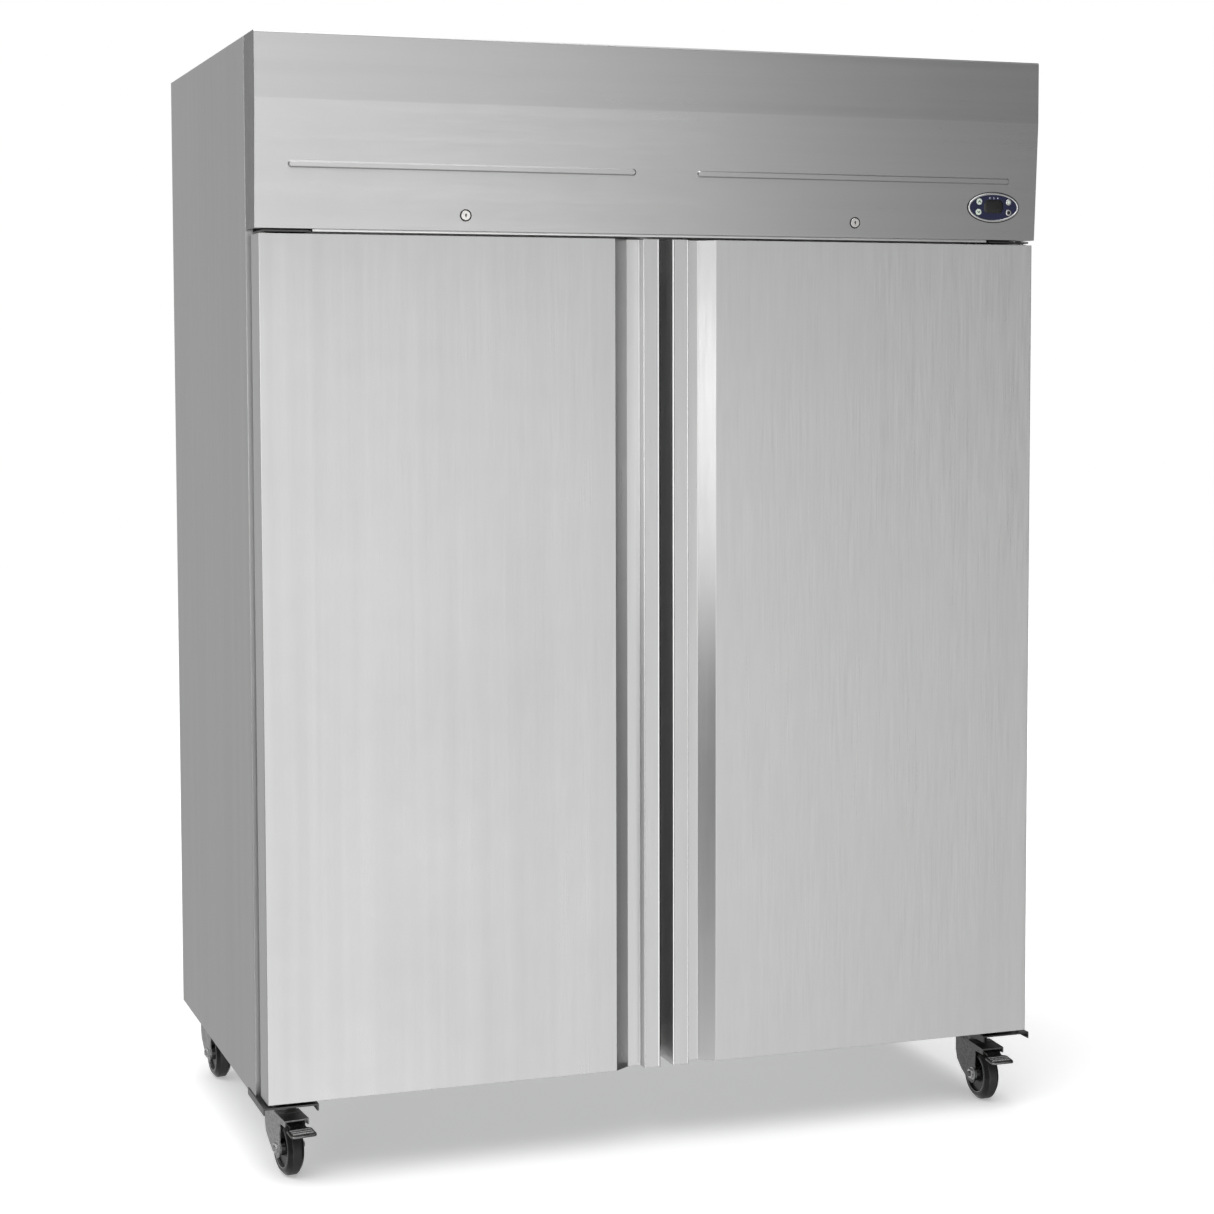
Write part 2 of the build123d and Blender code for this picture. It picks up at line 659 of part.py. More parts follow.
runner_leg = 22.0
runner_sheet = 1.5
runner_y = (-240.0, 300.0)
wall_runner = cavity_x - upright_size[0]
middle_runner = upright_size[0] / 2
with BuildPart() as shelf_runners:
    for level in shelf_levels:
        for sign in SIDES.values():
            for start, inward in ((wall_runner, -1), (middle_runner, 1)):
                edge = (sign * start, sign * (start + inward * runner_sheet))
                block(edge, runner_y, (level - runner_sheet, level + runner_leg))
                leg = (sign * start, sign * (start + inward * runner_leg))
                block(leg, runner_y, (level - runner_sheet, level))
write(shelf_runners, "shelf_runners")

shelf_width = 650.0
shelf_depth = 530.0
rim = 8.0
wire = 4.0
wire_pitch = 25.0
shelf_x = (wall_runner + middle_runner) / 2
shelf_y = sum(runner_y) / 2
with BuildPart() as shelf:
    with BuildSketch(Plane.XY.offset(-rim / 2)):
        RectangleRounded(shelf_width, shelf_depth, 16)
        RectangleRounded(shelf_width - 2 * rim, shelf_depth - 2 * rim, 8, mode=Mode.SUBTRACT)
    extrude(amount=rim)
    with BuildSketch(Plane.XY.offset(-wire / 2)):
        with GridLocations(wire_pitch, 0, 25, 1):
            Rectangle(wire, shelf_depth - rim)
        with GridLocations(0, shelf_depth / 3, 1, 2):
            Rectangle(shelf_width - rim, rim - 2)
    extrude(amount=wire)
shelf_places = [(sign * shelf_x, level + rim / 2) for sign in SIDES.values() for level in shelf_levels]
with BuildPart() as shelves:
    with Locations(*[(x, shelf_y, z) for x, z in shelf_places]):
        add(shelf.part)
write(shelves, "shelves")

# ------------------------------------------------------------------ evaporator and its fans
cover_half = 330.0
cover_front = 55.0
cover_bottom = 1452.0
cover_wall = 1.5
fan_x = 160.0
fan_height = 1521.0
fan_opening = 55.0
with BuildPart() as evaporator_cover:
    block((-cover_half, cover_half), (cover_front, cavity_back - 12), (cover_bottom, cavity_top))
    inside_x = (-cover_half + cover_wall, cover_half - cover_wall)
    inside_y = (cover_front + cover_wall, cavity_back)
    block(inside_x, inside_y, (cover_bottom + cover_wall, cavity_top + 1), Mode.SUBTRACT)
    for sign in SIDES.values():
        rod((sign * fan_x, cover_front, fan_height), fan_opening + 3, 10, "Y", Mode.SUBTRACT)
        with BuildSketch(Plane.XZ.offset(-cover_front)):
            with Locations((sign * fan_x, fan_height)):
                for ring in (20, 38, fan_opening):
                    Circle(ring + 1.5)
                    Circle(ring - 1.5, mode=Mode.SUBTRACT)
                Rectangle(2 * (fan_opening + 4), 3)
                Rectangle(3, 2 * (fan_opening + 4))
        extrude(amount=-cover_wall)
write(evaporator_cover, "evaporator_cover")

coil_back = cavity_back - 30
with BuildPart() as evaporator_coil:
    with GridLocations(16, 0, 36, 1):
        with Locations((0, coil_back - 60, 1525)):
            Box(1, 110, 100)
    for y in (coil_back - 90, coil_back - 30):
        for z in (1495, 1555):
            rod((0, y, z), 5, 590, "X")
write(evaporator_coil, "evaporator_coil")


def fan_rotor(piece_axis, hub_radius, tip_radius, blades, depth):
    """Add a fan's hub, blades and shaft bore to the current part, around a local Z axis."""
    Cylinder(hub_radius, depth)
    with PolarLocations(0, blades):
        with Locations(Location(((hub_radius + tip_radius) / 2 - 1, 0, 0), (32, 0, 0))):
            Box(tip_radius - hub_radius + 2, tip_radius * 0.62, 1.6)
    Cylinder(piece_axis + running_gap, 2 * depth, mode=Mode.SUBTRACT)


shaft_radius = 3.0
fan_y = cover_front + 26
for side, sign in SIDES.items():
    with BuildPart(Plane(origin=(sign * fan_x, fan_y, fan_height), x_dir=(1, 0, 0), z_dir=(0, -1, 0))) as fan:
        fan_rotor(shaft_radius, 14, fan_opening - 3, 5, 16)
    write(fan, f"evaporator_fan_{side}")

# ------------------------------------------------------------------ condensing unit
coil_x = (60.0, 440.0)
coil_y = (-290.0, -225.0)
coil_z = (deck_height + 12, total_height - 30)
coil_middle = (sum(coil_x) / 2, sum(coil_y) / 2, sum(coil_z) / 2)
with BuildPart() as condenser_coil:
    with Locations(coil_middle):
        with GridLocations(9, 0, 41, 1):
            Box(1, coil_y[1] - coil_y[0], coil_z[1] - coil_z[0])
    for y in (coil_middle[1] - 16, coil_middle[1] + 16):
        for row in range(6):
            rod((coil_middle[0], y, coil_z[0] + 25 + 47 * row), 5, coil_x[1] - coil_x[0] + 10, "X")
    for x in coil_x:
        block((x - 1.5, x + 1.5), coil_y, (deck_height, coil_z[1]))
write(condenser_coil, "condenser_coil")

shroud_y = coil_y[1] + 45
blade_radius = 125.0
with BuildPart() as condenser_fan_shroud:
    block((coil_x[0] + 8, coil_x[1] - 8), (shroud_y - 2, shroud_y), (deck_height, coil_z[1]))
    rod((coil_middle[0], shroud_y + 14, coil_middle[2]), blade_radius + 6, 32, "Y")
    rod((coil_middle[0], shroud_y, coil_middle[2]), blade_radius + 4, 90, "Y", Mode.SUBTRACT)
write(condenser_fan_shroud, "condenser_fan_shroud")

blade_plane = Plane(origin=(coil_middle[0], shroud_y + 12, coil_middle[2]), x_dir=(1, 0, 0), z_dir=(0, 1, 0))
with BuildPart(blade_plane) as blade:
    fan_rotor(4.0, 32, blade_radius - 2, 5, 26)
write(blade, "condenser_fan_blade")

motors = []
with BuildPart() as condenser_motor:
    motor_y = shroud_y + 12 + 26
    rod((coil_middle[0], motor_y + 36, coil_middle[2]), 42, 70, "Y")
    rod((coil_middle[0], motor_y - 10, coil_middle[2]), 4, 42, "Y")
    foot_z = (deck_height, coil_middle[2] - 30)
    block((coil_middle[0] - 30, coil_middle[0] + 30), (motor_y + 20, motor_y + 23), foot_z)
    foot_x = (coil_middle[0] - 45, coil_middle[0] + 45)
    block(foot_x, (motor_y + 5, motor_y + 55), (deck_height, deck_height + 3))
motors.append(condenser_motor)
for sign in SIDES.values():
    with BuildPart() as evaporator_motor:
        rod((sign * fan_x, fan_y + 35, fan_height), 24, 44, "Y")
        rod((sign * fan_x, fan_y + 8, fan_height), shaft_radius, 28, "Y")
        bar = (sign * fan_x - 68, sign * fan_x + 68)
        block(bar, (fan_y + 20, fan_y + 23), (fan_height - 8, fan_height + 8))
        for end in (-67, 67):
            arm = (sign * fan_x + end - 1, sign * fan_x + end + 1)
            block(arm, (cover_front + cover_wall, fan_y + 23), (fan_height - 8, fan_height + 8))
    motors.append(evaporator_motor)
write_group(motors, "fan_motors")

compressor_place = (230.0, 170.0)
compressor_half = (105.0, 80.0)
compressor_tall = 190.0
grommet_height = 16.0
shell_bottom = deck_height + grommet_height + 6
terminal_x = compressor_place[0] - compressor_half[0]
terminal_y = (compressor_place[1] - 40, compressor_place[1] + 40)
with BuildPart() as compressor:
    with BuildSketch(Plane.XY.offset(shell_bottom)):
        with Locations(compressor_place):
            Ellipse(*compressor_half)
    extrude(amount=compressor_tall)
    fillet(compressor.faces().sort_by(Axis.Z)[-1].edges(), radius=45)
    fillet(compressor.faces().sort_by(Axis.Z)[0].edges(), radius=15)
    with BuildSketch(Plane.XY.offset(deck_height + grommet_height)):
        with Locations(compressor_place):
            RectangleRounded(250, 150, 12)
    extrude(amount=8)
    with BuildSketch(Plane.XY.offset(deck_height)):
        with Locations(compressor_place):
            with GridLocations(210, 110, 2, 2):
                Circle(12)
    extrude(amount=grommet_height)
    block((terminal_x - 22, terminal_x + 14), terminal_y, (shell_bottom + 50, shell_bottom + 130))
write(compressor, "compressor")

box_x, box_y = (-420.0, -160.0), (-280.0, -170.0)
box_top = deck_height + 130
lid_rim = 4.0
with BuildPart() as control_box:
    block(box_x, box_y, (deck_height, box_top))
    fillet(control_box.edges().filter_by(Axis.Z), radius=6)
    lid_x, lid_y = [(low - lid_rim, high + lid_rim) for low, high in (box_x, box_y)]
    block(lid_x, lid_y, (box_top, box_top + 6))
    fillet(control_box.faces().sort_by(Axis.Z)[-1].edges(), radius=2)
write(control_box, "control_box")

tray_place = (-300.0, 180.0)
tray_size = (320.0, 200.0)
tray_depth = 48.0
tray_wall = 1.5
with BuildPart() as condensate_tray:
    with BuildSketch(Plane.XY.offset(deck_height)):
        with Locations(tray_place):
            RectangleRounded(*tray_size, 20)
    extrude(amount=tray_depth)
    offset(amount=-tray_wall, openings=condensate_tray.faces().sort_by(Axis.Z)[-1])
write(condensate_tray, "condensate_tray")

pipe_radius = 4.75
pipe_routes = [
    [(230, 262, 1760), (230, 300, 1760), (500, 300, 1760), (500, -257, 1760), (448, -257, 1760)],
    [(448, -241, 1900), (475, -241, 1900), (475, 340, 1900), (-60, 340, 1900), (-60, 340, deck_height)],
    [(230, 255, 1720), (230, 330, 1720), (60, 330, 1720), (60, 330, deck_height)],
]
pipes = []
for route in pipe_routes:
    with BuildPart() as pipe:
        with BuildLine():
            FilletPolyline(*route, radius=18)
        start = Vector(*route[0])
        heading_out = (Vector(*route[1]) - start).normalized()
        with BuildSketch(Plane(origin=start, z_dir=heading_out)):
            Circle(pipe_radius)
        sweep()
    pipes.append(pipe)
drier_place = (487, 120, 1840)
with BuildPart() as filter_drier:
    rod(drier_place, 15, 90, "Y")
    rod(drier_place, 6, 130, "Y")
pipes.append(filter_drier)
write_group(pipes, "refrigerant_pipes")

gland_middle = (gland_x, body_back - 8, gland_height)
with BuildPart() as cable_gland:
    rod(gland_middle, gland_hole_radius - 0.5, 16, "Y")
    with BuildSketch(Plane.XZ.offset(-gland_middle[1])):
        with Locations((gland_x, gland_height)):
            RegularPolygon(14, 6)
    extrude(amount=-6)
    rod(gland_middle, 4, 40, "Y", Mode.SUBTRACT)
write(cable_gland, "cable_gland")
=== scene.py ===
"""Looks for the two-door reach-in refrigerator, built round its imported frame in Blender 4.5."""
import json
import logging
import math
from dataclasses import dataclass, field
from enum import Enum
from functools import reduce
from typing import Callable, Iterable, Mapping, Sequence

import bmesh
import bpy
from mathutils import Matrix, Vector


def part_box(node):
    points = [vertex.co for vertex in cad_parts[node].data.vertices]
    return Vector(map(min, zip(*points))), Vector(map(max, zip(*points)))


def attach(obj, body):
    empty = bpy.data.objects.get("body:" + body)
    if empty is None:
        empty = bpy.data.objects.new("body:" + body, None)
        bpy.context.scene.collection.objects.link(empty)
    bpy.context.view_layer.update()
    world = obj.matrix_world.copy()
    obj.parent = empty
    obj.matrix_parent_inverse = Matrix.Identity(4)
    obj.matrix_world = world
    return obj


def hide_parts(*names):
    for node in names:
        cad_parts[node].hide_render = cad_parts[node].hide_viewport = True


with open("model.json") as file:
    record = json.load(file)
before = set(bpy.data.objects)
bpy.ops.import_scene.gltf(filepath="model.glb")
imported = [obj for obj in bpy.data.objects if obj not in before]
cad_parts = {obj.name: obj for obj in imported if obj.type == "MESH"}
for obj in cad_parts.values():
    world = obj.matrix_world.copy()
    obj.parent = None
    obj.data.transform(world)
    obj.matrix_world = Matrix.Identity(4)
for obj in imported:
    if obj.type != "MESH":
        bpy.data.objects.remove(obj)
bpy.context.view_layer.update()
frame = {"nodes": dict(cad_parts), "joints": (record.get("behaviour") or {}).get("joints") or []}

LOG = logging.getLogger("refrigerator")

SIDES = {"left": -1.0, "right": 1.0}
CORNERS = ("front_left", "front_right", "rear_left", "rear_right")
MM = 0.001

Colour = tuple[float, float, float]
Point = tuple[float, float, float]
Rings = list[list[Vector]]
Socket = bpy.types.NodeSocket
Tree = bpy.types.NodeTree


class Axis(Enum):
    """Directions of the frame, for grain, lathes and screws."""

    X = (1.0, 0.0, 0.0)
    Y = (0.0, 1.0, 0.0)
    Z = (0.0, 0.0, 1.0)
    FRONT = (0.0, -1.0, 0.0)
    DOWN = (0.0, 0.0, -1.0)


class Recess(Enum):
    """Drive cut into a screw's head."""

    CROSS = "cross"
    HEXAGON = "hexagon"


# ------------------------------------------------------------------ node trees
class Graph:
    """A node tree, with short calls that add nodes and join their sockets."""

    def __init__(self, tree: Tree) -> None:
        """Keep the tree."""
        self.tree = tree

    def feed(self, socket: Socket, value: object) -> None:
        """Join a socket to an input, or set the input's own value.

        Args:
            socket: the input to fill.
            value: an output socket, a number, or a tuple.
        """
        if isinstance(value, Socket):
            self.tree.links.new(value, socket)
        else:
            socket.default_value = value

    def node(self, kind: str, inputs: Mapping | None = None, **settings: object) -> bpy.types.Node:
        """Add a node.

        Args:
            kind: the node's type name.
            inputs: values or sockets for its inputs, by name or number.
            **settings: properties to set on the node itself.

        Returns:
            The new node.
        """
        made = self.tree.nodes.new(kind)
        for name, value in settings.items():
            setattr(made, name, value)
        for key, value in (inputs or {}).items():
            self.feed(made.inputs[key], value)
        return made

    def maths(self, operation: str, *values: object, clamp: bool = False) -> Socket:
        """Return the result of a Math node on the given values."""
        made = self.node("ShaderNodeMath", dict(enumerate(values)), operation=operation, use_clamp=clamp)
        return made.outputs[0]

    def times(self, *values: object) -> Socket:
        """Return the product of the values."""
        return reduce(lambda first, second: self.maths("MULTIPLY", first, second), values)

    def plus(self, *values: object) -> Socket:
        """Return the sum of the values."""
        return reduce(lambda first, second: self.maths("ADD", first, second), values)

    def minus(self, first: object, second: object) -> Socket:
        """Return the first value less the second."""
        return self.maths("SUBTRACT", first, second)

    def vector(self, operation: str, *values: object) -> Socket:
        """Return the result of a Vector Math node on the given values."""
        made = self.node("ShaderNodeVectorMath", operation=operation)
        for index, value in enumerate(values):
            self.feed(made.inputs["Scale" if operation == "SCALE" and index else index], value)
        return made.outputs["Value" if operation in ("DOT_PRODUCT", "LENGTH") else "Vector"]

    def remap(self, value: object, low: float, high: float, to: tuple = (0.0, 1.0)) -> Socket:
        """Return a value taken smoothly from the range low to high onto another range."""
        inputs = {"Value": value, "From Min": low, "From Max": high, "To Min": to[0], "To Max": to[1]}
        return self.node("ShaderNodeMapRange", inputs, interpolation_type="SMOOTHSTEP").outputs[0]

    def mix(self, factor: object, first: object, second: object) -> Socket:
        """Return a blend of two colours."""
        made = self.node("ShaderNodeMix", {0: factor, 6: first, 7: second}, data_type="RGBA")
        return made.outputs[2]

    def noise(self, where: object, scale: object, detail: float = 2.0) -> Socket:
        """Return a noise value at the given coordinates."""
        inputs = {"Vector": where, "Scale": scale, "Detail": detail}
        return self.node("ShaderNodeTexNoise", inputs).outputs[0]

    def place(self) -> Socket:
        """Return the piece's own coordinates, in metres."""
        return self.node("ShaderNodeTexCoord").outputs["Object"]


FLOAT, VECTOR = "NodeSocketFloat", "NodeSocketVector"
TONE_AND_NORMAL = {"Tone": FLOAT, "Normal": VECTOR}


class Effect(Enum):
    """Surface effects that several finishes share, each one a shader node group."""

    BRUSHED_GRAIN = "brushed_grain"
    EDGE_WEAR = "edge_wear"
    DUST = "dust"
    SMUDGES = "smudges"
    SPANGLE = "spangle"
    MOULD_GRAIN = "mould_grain"


class Effects:
    """Builds each shared effect once, and places it in materials."""

    def __init__(self) -> None:
        """Start with no group built."""
        self.trees: dict[Effect, Tree] = {}

    def use(self, graph: Graph, effect: Effect, **inputs: object) -> bpy.types.bpy_prop_collection:
        """Place an effect in a material.

        Args:
            graph: the material's tree.
            effect: which effect.
            **inputs: values or sockets for the group's named inputs.

        Returns:
            The outputs of the placed group.
        """
        if effect not in self.trees:
            self.trees[effect] = getattr(self, effect.value)()
        placed = graph.node("ShaderNodeGroup", node_tree=self.trees[effect])
        for name, value in inputs.items():
            graph.feed(placed.inputs[name.replace("_", " ").capitalize()], value)
        return placed.outputs

    def group(self, effect: Effect, inputs: Mapping, outputs: Mapping, fill: Callable) -> Tree:
        """Make a node group.

        Args:
            effect: the effect that the group is for.
            inputs: default values by input name; three numbers make a vector.
            outputs: socket types by output name.
            fill: called with the graph, the group's inputs and its outputs.

        Returns:
            The finished node tree.
        """
        tree = bpy.data.node_groups.new(effect.value, "ShaderNodeTree")
        for name, value in inputs.items():
            kind = VECTOR if isinstance(value, tuple) else FLOAT
            socket = tree.interface.new_socket(name=name, in_out="INPUT", socket_type=kind)
            socket.default_value = value
        for name, kind in outputs.items():
            tree.interface.new_socket(name=name, in_out="OUTPUT", socket_type=kind)
        graph = Graph(tree)
        given = graph.node("NodeGroupInput").outputs
        fill(graph, given, graph.node("NodeGroupOutput").inputs)
        return tree

    def brushed_grain(self) -> Tree:
        """Return the group for fine parallel scratches, which tilt the normal across the grain."""
        def fill(graph: Graph, given: Mapping, out: Mapping) -> None:
            """Stretch noise along the grain and tilt the normal by it."""
            place = graph.place()
            along = graph.vector("DOT_PRODUCT", place, given["Axis"])
            shorten = graph.minus(graph.maths("DIVIDE", 1.0, given["Stretch"]), 1.0)
            pulled = graph.vector("SCALE", given["Axis"], graph.times(along, shorten))
            where = graph.vector("ADD", place, pulled)
            fine = graph.noise(where, given["Scale"], 3.0)
            broad = graph.noise(where, graph.times(given["Scale"], 0.05), 3.0)
            turned = graph.node(
                "ShaderNodeVectorTransform", {0: given["Axis"]},
                vector_type="VECTOR", convert_from="OBJECT", convert_to="WORLD",
            ).outputs[0]
            across = graph.vector("CROSS_PRODUCT", given["Normal"], turned)
            tilt = graph.times(graph.minus(fine, 0.5), given["Depth"])
            bent = graph.vector("ADD", given["Normal"], graph.vector("SCALE", across, tilt))
            graph.feed(out["Normal"], graph.vector("NORMALIZE", bent))
            both = graph.plus(graph.times(fine, 0.45), graph.times(broad, 0.55))
            graph.feed(out["Tone"], graph.remap(both, 0.33, 0.67))

        up = Axis.Z.value
        inputs = {"Axis": up, "Scale": 1200.0, "Stretch": 80.0, "Depth": 0.8, "Normal": up}
        return self.group(Effect.BRUSHED_GRAIN, inputs, TONE_AND_NORMAL, fill)

    def edge_wear(self) -> Tree:
        """Return the group that softens edges and marks where they are rubbed."""
        def fill(graph: Graph, given: Mapping, out: Mapping) -> None:
            """Compare the rounded normal with the true one."""
            soft = graph.node("ShaderNodeBevel", {"Radius": given["Radius"]}, samples=4).outputs[0]
            true = graph.node("ShaderNodeNewGeometry").outputs["Normal"]
            same = graph.vector("DOT_PRODUCT", soft, true)
            edge = graph.remap(same, 0.985, 0.8)
            patches = graph.remap(graph.noise(graph.place(), 60.0, 4.0), 0.35, 0.6)
            graph.feed(out["Mask"], graph.times(edge, patches, given["Amount"]))
            graph.feed(out["Normal"], soft)

        outputs = {"Mask": FLOAT, "Normal": VECTOR}
        return self.group(Effect.EDGE_WEAR, {"Radius": 0.0012, "Amount": 0.5}, outputs, fill)

    def dust(self) -> Tree:
        """Return the group for dust that settles in patches on what faces up."""
        def fill(graph: Graph, given: Mapping, out: Mapping) -> None:
            """Mask noise by how far the surface faces up."""
            normal = graph.node("ShaderNodeNewGeometry").outputs["Normal"]
            up = graph.remap(graph.node("ShaderNodeSeparateXYZ", {0: normal}).outputs["Z"], -0.2, 0.95)
            specks = graph.remap(graph.noise(graph.place(), given["Scale"], 6.0), 0.4, 0.72)
            settled = graph.plus(graph.times(up, 0.85), 0.15)
            graph.feed(out["Mask"], graph.times(settled, specks, given["Amount"]))

        return self.group(Effect.DUST, {"Amount": 0.2, "Scale": 30.0}, {"Mask": FLOAT}, fill)

    def smudges(self) -> Tree:
        """Return the group for wiping marks that change the gloss."""
        def fill(graph: Graph, given: Mapping, out: Mapping) -> None:
            """Warp broad noise and add finer streaks."""
            place = graph.place()
            broad = graph.noise(place, given["Scale"], 3.0)
            streaks = graph.noise(place, graph.times(given["Scale"], 9.0), 2.0)
            both = graph.plus(graph.times(broad, 0.75), graph.times(streaks, 0.25))
            graph.feed(out["Shift"], graph.times(graph.minus(both, 0.5), given["Strength"]))

        return self.group(Effect.SMUDGES, {"Scale": 4.0, "Strength": 0.3}, {"Shift": FLOAT}, fill)

    def spangle(self) -> Tree:
        """Return the group for the crystal patches of a zinc coat."""
        def fill(graph: Graph, given: Mapping, out: Mapping) -> None:
            """Give each Voronoi cell its own grey, softened by noise."""
            inputs = {"Vector": graph.place(), "Scale": given["Scale"]}
            cells = graph.node("ShaderNodeTexVoronoi", inputs).outputs["Color"]
            level = graph.node("ShaderNodeSeparateColor", {0: cells}).outputs[0]
            cloud = graph.noise(graph.place(), graph.times(given["Scale"], 2.5), 3.0)
            graph.feed(out["Tone"], graph.plus(graph.times(level, 0.5), graph.times(cloud, 0.5)))

        return self.group(Effect.SPANGLE, {"Scale": 120.0}, {"Tone": FLOAT}, fill)

    def mould_grain(self) -> Tree:
        """Return the group for the fine pebbled grain of moulded, cast or painted parts."""
        def fill(graph: Graph, given: Mapping, out: Mapping) -> None:
            """Raise a bump from fine noise."""
            height = graph.noise(graph.place(), given["Scale"], 3.0)
            inputs = {"Distance": 0.0004, "Height": height, "Normal": given["Normal"]}
            bump = graph.node("ShaderNodeBump", {"Strength": given["Depth"], **inputs})
            graph.feed(out["Normal"], bump.outputs[0])
            graph.feed(out["Tone"], graph.remap(height, 0.3, 0.7))

        inputs = {"Scale": 900.0, "Depth": 0.3, "Normal": Axis.Z.value}
        return self.group(Effect.MOULD_GRAIN, inputs, TONE_AND_NORMAL, fill)


EFFECTS = Effects()


# ------------------------------------------------------------------ finishes
def cleared(owner: bpy.types.Material | bpy.types.World) -> Graph:
    """Return the emptied node tree of a material or world."""
    owner.use_nodes = True
    owner.node_tree.nodes.clear()
    return Graph(owner.node_tree)


def grey(level: float) -> Colour:
    """Return a neutral colour."""
    return (level, level, level)


def shade(colour: Colour, factor: float) -> tuple[float, float, float, float]:
    """Return a colour made lighter or darker, with full alpha."""
    return (*(min(1.0, channel * factor) for channel in colour), 1.0)


@dataclass(frozen=True)
class Finish:
    """A surface finish; each kind builds its own material, once."""

    name: str
    colour: Colour
    roughness: float
    metallic: float = 0.0
    dust: float = 0.15
    wear: float = 0.3
    edge: float = 0.0008

    def material(self) -> bpy.types.Material:
        """Return the finish's material, making it the first time."""
        name = f"{self.name}_finish"
        known = bpy.data.materials.get(name)
        if known is not None:
            return known
        made = bpy.data.materials.new(name)
        graph = cleared(made)
        surface = graph.node("ShaderNodeBsdfPrincipled", {"Metallic": self.metallic})
        graph.node("ShaderNodeOutputMaterial", {"Surface": surface.outputs[0]})
        self.fill(graph, surface.inputs)
        return made

    def fill(self, graph: Graph, surface: Mapping) -> None:
        """Wire the finish's effects into the shader's inputs; each kind has its own."""
        raise NotImplementedError

    def worn(self, graph: Graph) -> Mapping:
        """Return the outputs of the edge wear of this finish."""
        return EFFECTS.use(graph, Effect.EDGE_WEAR, radius=self.edge, amount=self.wear)

    def grained(
        self, graph: Graph, surface: Mapping, scale: float, depth: float,
    ) -> tuple[Socket, Socket]:
        """Wear the edges, and raise a fine grain on the whole surface.

        Args:
            graph: the material's tree.
            surface: the shader's inputs.
            scale: how fine the grain is.
            depth: how strong it is.

        Returns:
            The mask of the worn edges, and the tone of the grain.
        """
        edges = self.worn(graph)
        grain = EFFECTS.use(graph, Effect.MOULD_GRAIN, scale=scale, depth=depth, normal=edges["Normal"])
        graph.feed(surface["Normal"], grain["Normal"])
        return edges["Mask"], grain["Tone"]

    def settle(self, graph: Graph, surface: Mapping, colour: object, roughness: object) -> None:
        """Lay dust over a colour and roughness, and feed both to the shader.

        Args:
            graph: the material's tree.
            surface: the shader's inputs.
            colour: colour under the dust.
            roughness: roughness under the dust.
        """
        mask = EFFECTS.use(graph, Effect.DUST, amount=self.dust, scale=26.0)["Mask"]
        graph.feed(surface["Base Color"], graph.mix(mask, colour, (0.42, 0.4, 0.37, 1.0)))
        rougher = graph.maths("ADD", roughness, graph.times(mask, 0.5), clamp=True)
        graph.feed(surface["Roughness"], rougher)


@dataclass(frozen=True)
class BrushedSteel(Finish):
    """Stainless sheet with a parallel grain."""

    metallic: float = 1.0
    dust: float = 0.02
    grain: Axis = Axis.Z
    scale: float = 1100.0
    stretch: float = 90.0
    depth: float = 0.1
    contrast: float = 0.02
    anisotropy: float = 0.9

    def fill(self, graph: Graph, surface: Mapping) -> None:
        """Tilt normals across the grain and vary colour and gloss with it."""
        graph.feed(surface["Anisotropic"], self.anisotropy)
        graph.feed(surface["Anisotropic Rotation"], 0.0 if self.grain is Axis.Z else 0.25)
        edges = self.worn(graph)
        grain = EFFECTS.use(
            graph, Effect.BRUSHED_GRAIN, axis=self.grain.value, scale=self.scale,
            stretch=self.stretch, depth=self.depth, normal=edges["Normal"],
        )
        graph.feed(surface["Normal"], grain["Normal"])
        dark, light = shade(self.colour, 1 - self.contrast), shade(self.colour, 1 + self.contrast)
        tone = graph.mix(grain["Tone"], dark, light)
        bright = graph.mix(edges["Mask"], tone, shade(self.colour, 1.35))
        gloss = EFFECTS.use(graph, Effect.SMUDGES, scale=2.2, strength=0.12)["Shift"]
        grainy = graph.times(graph.minus(grain["Tone"], 0.5), 0.06)
        rough = graph.plus(gloss, self.roughness, grainy)
        self.settle(graph, surface, bright, rough)


@dataclass(frozen=True)
class ZincCoat(Finish):
    """Galvanised or zinc plated steel, with crystal patches."""

    scale: float = 120.0
    contrast: float = 0.25

    def fill(self, graph: Graph, surface: Mapping) -> None:
        """Colour the crystals and rub the edges bright."""
        rubbed, _ = self.grained(graph, surface, 420.0, 0.25)
        tone = EFFECTS.use(graph, Effect.SPANGLE, scale=self.scale)["Tone"]
        dark, light = shade(self.colour, 1 - self.contrast), shade(self.colour, 1 + self.contrast)
        colour = graph.mix(rubbed, graph.mix(tone, dark, light), shade(self.colour, 1.6))
        rough = graph.plus(graph.times(tone, 0.2), self.roughness - 0.1)
        self.settle(graph, surface, colour, rough)


@dataclass(frozen=True)
class Moulded(Finish):
    """Plastic, rubber or paint with a fine grain and rubbed edges."""

    scale: float = 900.0
    depth: float = 0.3
    rubbed: float = 1.8
    coat: float = 0.0

    def fill(self, graph: Graph, surface: Mapping) -> None:
        """Raise the grain and lighten the rubbed edges."""
        rubbed, grain = self.grained(graph, surface, self.scale, self.depth)
        tone = graph.mix(grain, shade(self.colour, 0.88), shade(self.colour, 1.12))
        colour = graph.mix(rubbed, tone, shade(self.colour, self.rubbed))
        gloss = EFFECTS.use(graph, Effect.SMUDGES, scale=14.0, strength=0.25)["Shift"]
        graph.feed(surface["Coat Weight"], self.coat)
        self.settle(graph, surface, colour, graph.plus(gloss, self.roughness))


